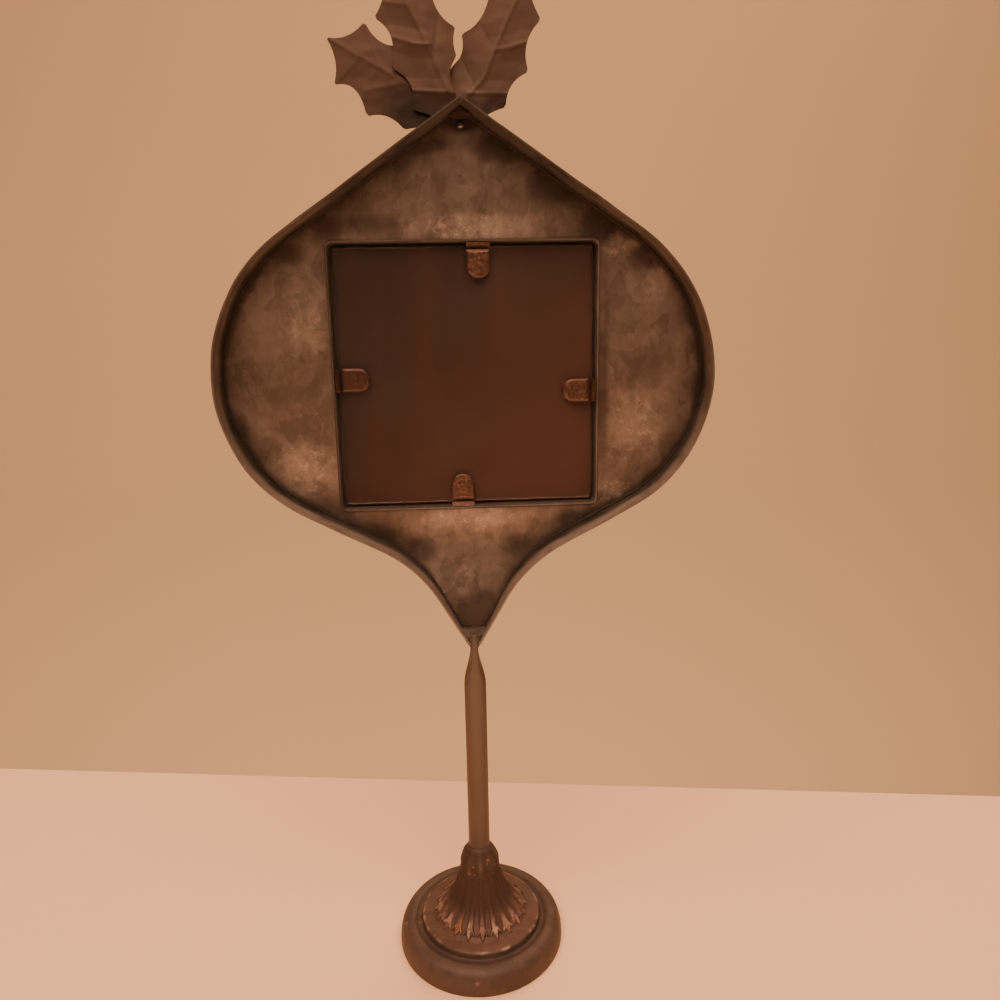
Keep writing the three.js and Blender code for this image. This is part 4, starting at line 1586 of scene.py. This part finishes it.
    def petal(self, radius, side, half_width):
        """Height of one petal between 0 and 1: a rib with two barbs near its tip."""
        across = abs(side)
        rib = half_width * smooth(21.8, 19.2, radius) * (0.75 + 0.25 * smooth(10, 17, radius))
        height = smooth(rib + 0.45, max(rib - 0.25, 0), across) if rib > 0.05 else 0.0
        share = (radius - 16.6) / 3.4
        if 0 <= share <= 1:
            width = 0.62 * (1 - 0.5 * share)
            off = abs(across - 2.45 * share)
            height = max(height, smooth(width + 0.35, width - 0.2, off))
        return height


class FRAME_OT_kept_solids(bpy.types.Operator):
    """Gives the solids that stay as they are their finishes"""

    bl_idname = "frame.kept_solids"
    bl_label = "Kept solids"

    def execute(self, context):
        colours = context.scene.frame_colours
        finishes = {
            "photo_insert": paper_finish(colours),
            "backing_board": board_finish(colours),
            **dict.fromkeys(("base_washer", "base_screw", "stem_plug"), zinc_finish(colours)),
        }
        for name, finish in finishes.items():
            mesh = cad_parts[name].data
            mesh.materials.clear()
            mesh.materials.append(finish)
        return {"FINISHED"}


# ---- stage ----

LENS = 27.72
SENSOR = 36
CAMERA_PLACE = Vector((-7.22, -305.86, 273.24)) * MM
CAMERA_AXES = (
    Vector((0.99763, -0.06663, -0.01698)),
    Vector((0.03106, 0.21638, 0.97582)),
    Vector((-0.06135, -0.97403, 0.21794)),
)
TABLE_EDGE = Vector((10, 119.5, 0)) * MM
TABLE_TURN = math.radians(-8.1)
TABLE_DEPTH = 0.85
WALL_PLACE = Vector((0, 0.9, 0.4))
# Each lamp's size, its place and what it faces.
LAMPS = {
    "key": ((1.5, 1.5), (-0.2, -0.8, 1.4), (0, 0, 0.2)),
    "fill": ((1.0, 1.0), (0.6, -1.3, 1.6), (0, 0, 0.2)),
    "back": ((1.0, 1.0), (0.3, 0.7, 1.25), (0, 0, 0.2)),
    "bounce": ((0.9, 0.35), (0, -0.3, 0.004), (0, -0.3, 1.004)),
    "wash": ((2.4, 1.0), (0, -0.1, -0.8), (0, 0.9, 0)),
}


class FRAME_OT_stage(bpy.types.Operator):
    """Builds the pale table, the plain wall, the lamps and the camera"""

    bl_idname = "frame.stage"
    bl_label = "Stage"

    def execute(self, context):
        look = context.scene.frame_stage
        bm = bmesh.new()
        rounded_plate(bm, 3.0, TABLE_DEPTH, 0.02, 6)
        move(bm, FRONT * (TABLE_DEPTH / 2))
        thicken(bm, UP * -0.03)
        bmesh.ops.rotate(bm, verts=bm.verts, matrix=Matrix.Rotation(TABLE_TURN, 3, "Z"))
        move(bm, TABLE_EDGE)
        table = plain_finish("Table top", look.table, 9.0)
        to_scene("table", to_mesh("table", bm, table))
        bm = bmesh.new()
        rounded_plate(bm, 7.0, 4.0, 0.02, 2)
        lay(bm, RIGHT, UP, WALL_PLACE)
        thicken(bm, FRONT * -0.02)
        wall = plain_finish("Wall paint", look.wall, 3.0)
        to_scene("wall", to_mesh("wall", bm, wall))
        for name, (size, place, target) in LAMPS.items():
            self.lamp(name, look, size, Vector(place), Vector(target))
        context.scene.world = self.even_light(look)
        context.scene.camera = self.camera()
        return {"FINISHED"}

    def lamp(self, name, look, size, place, target):
        """A large soft lamp that faces a target."""
        data = bpy.data.lights.new(name, "AREA")
        data.energy = getattr(look, name + "_power")
        data.shape = "RECTANGLE"
        data.size, data.size_y = size
        data.color = look.lamp
        lamp = to_scene(name, data)
        lamp.location = place
        lamp.rotation_euler = (target - place).to_track_quat("-Z", "Y").to_euler()
        lamp.visible_camera = False

    def even_light(self, look):
        """Even light that is brighter from above than near the horizon."""
        world = bpy.data.worlds.new("Even light")
        world.use_nodes = True
        bench = Bench(world.node_tree)
        direction = bench.put("TexCoord", {}, "Generated")
        rise = bench.between(bench.put("SeparateXYZ", {0: direction}, "Z"), 0.35, 0.95)
        ground = world.node_tree.nodes["Background"].inputs
        bench.give(ground["Color"], bench.mix(rise, shade(look.lamp, look.dusk), look.lamp))
        bench.give(ground["Strength"], look.ambient)
        return world

    def camera(self):
        """The camera at the photograph's angle."""
        data = bpy.data.cameras.new("camera")
        data.lens = LENS
        data.sensor_width = SENSOR
        data.clip_start = 0.01
        camera = to_scene("camera", data)
        turn = Matrix(CAMERA_AXES).transposed().to_4x4()
        camera.matrix_world = Matrix.Translation(CAMERA_PLACE) @ turn
        return camera


# ---- add-on ----

PIECES = (
    FRAME_OT_base,
    FRAME_OT_stem,
    FRAME_OT_rim,
    FRAME_OT_panel,
    FRAME_OT_solder,
    FRAME_OT_tray,
    FRAME_OT_glass,
    FRAME_OT_tabs,
    FRAME_OT_leaves,
    FRAME_OT_rivet,
    FRAME_OT_kept_solids,
    FRAME_OT_stage,
)
SETTINGS = {
    "frame_head": HeadSizes,
    "frame_base": BaseSizes,
    "frame_colours": FinishColours,
    "frame_stage": StageLook,
}


class FRAME_PT_panel(bpy.types.Panel):
    """Lists the settings and the pieces of the picture frame"""

    bl_idname = "FRAME_PT_panel"
    bl_label = "Picture frame"
    bl_space_type = "VIEW_3D"
    bl_region_type = "UI"
    bl_category = "Picture frame"

    def draw(self, context):
        layout = self.layout
        for name in SETTINGS:
            group = getattr(context.scene, name)
            box = layout.box()
            for prop in group.bl_rna.properties:
                if prop.identifier not in {"rna_type", "name"}:
                    box.prop(group, prop.identifier)
        for piece in PIECES:
            layout.operator(piece.bl_idname)


CLASSES = (*SETTINGS.values(), *PIECES, FRAME_PT_panel)


def register():
    """Makes the settings, the operators and the panel known to Blender."""
    for kind in CLASSES:
        bpy.utils.register_class(kind)
    for name, group in SETTINGS.items():
        setattr(bpy.types.Scene, name, bpy.props.PointerProperty(type=group))


def unregister():
    """Takes them out again."""
    for name in SETTINGS:
        delattr(bpy.types.Scene, name)
    for kind in reversed(CLASSES):
        bpy.utils.unregister_class(kind)


def main():
    """Builds every piece and the stage."""
    register()
    for name in (piece.bl_idname.split(".")[1] for piece in PIECES):
        getattr(bpy.ops.frame, name)()


if __name__ == "__main__":
    main()
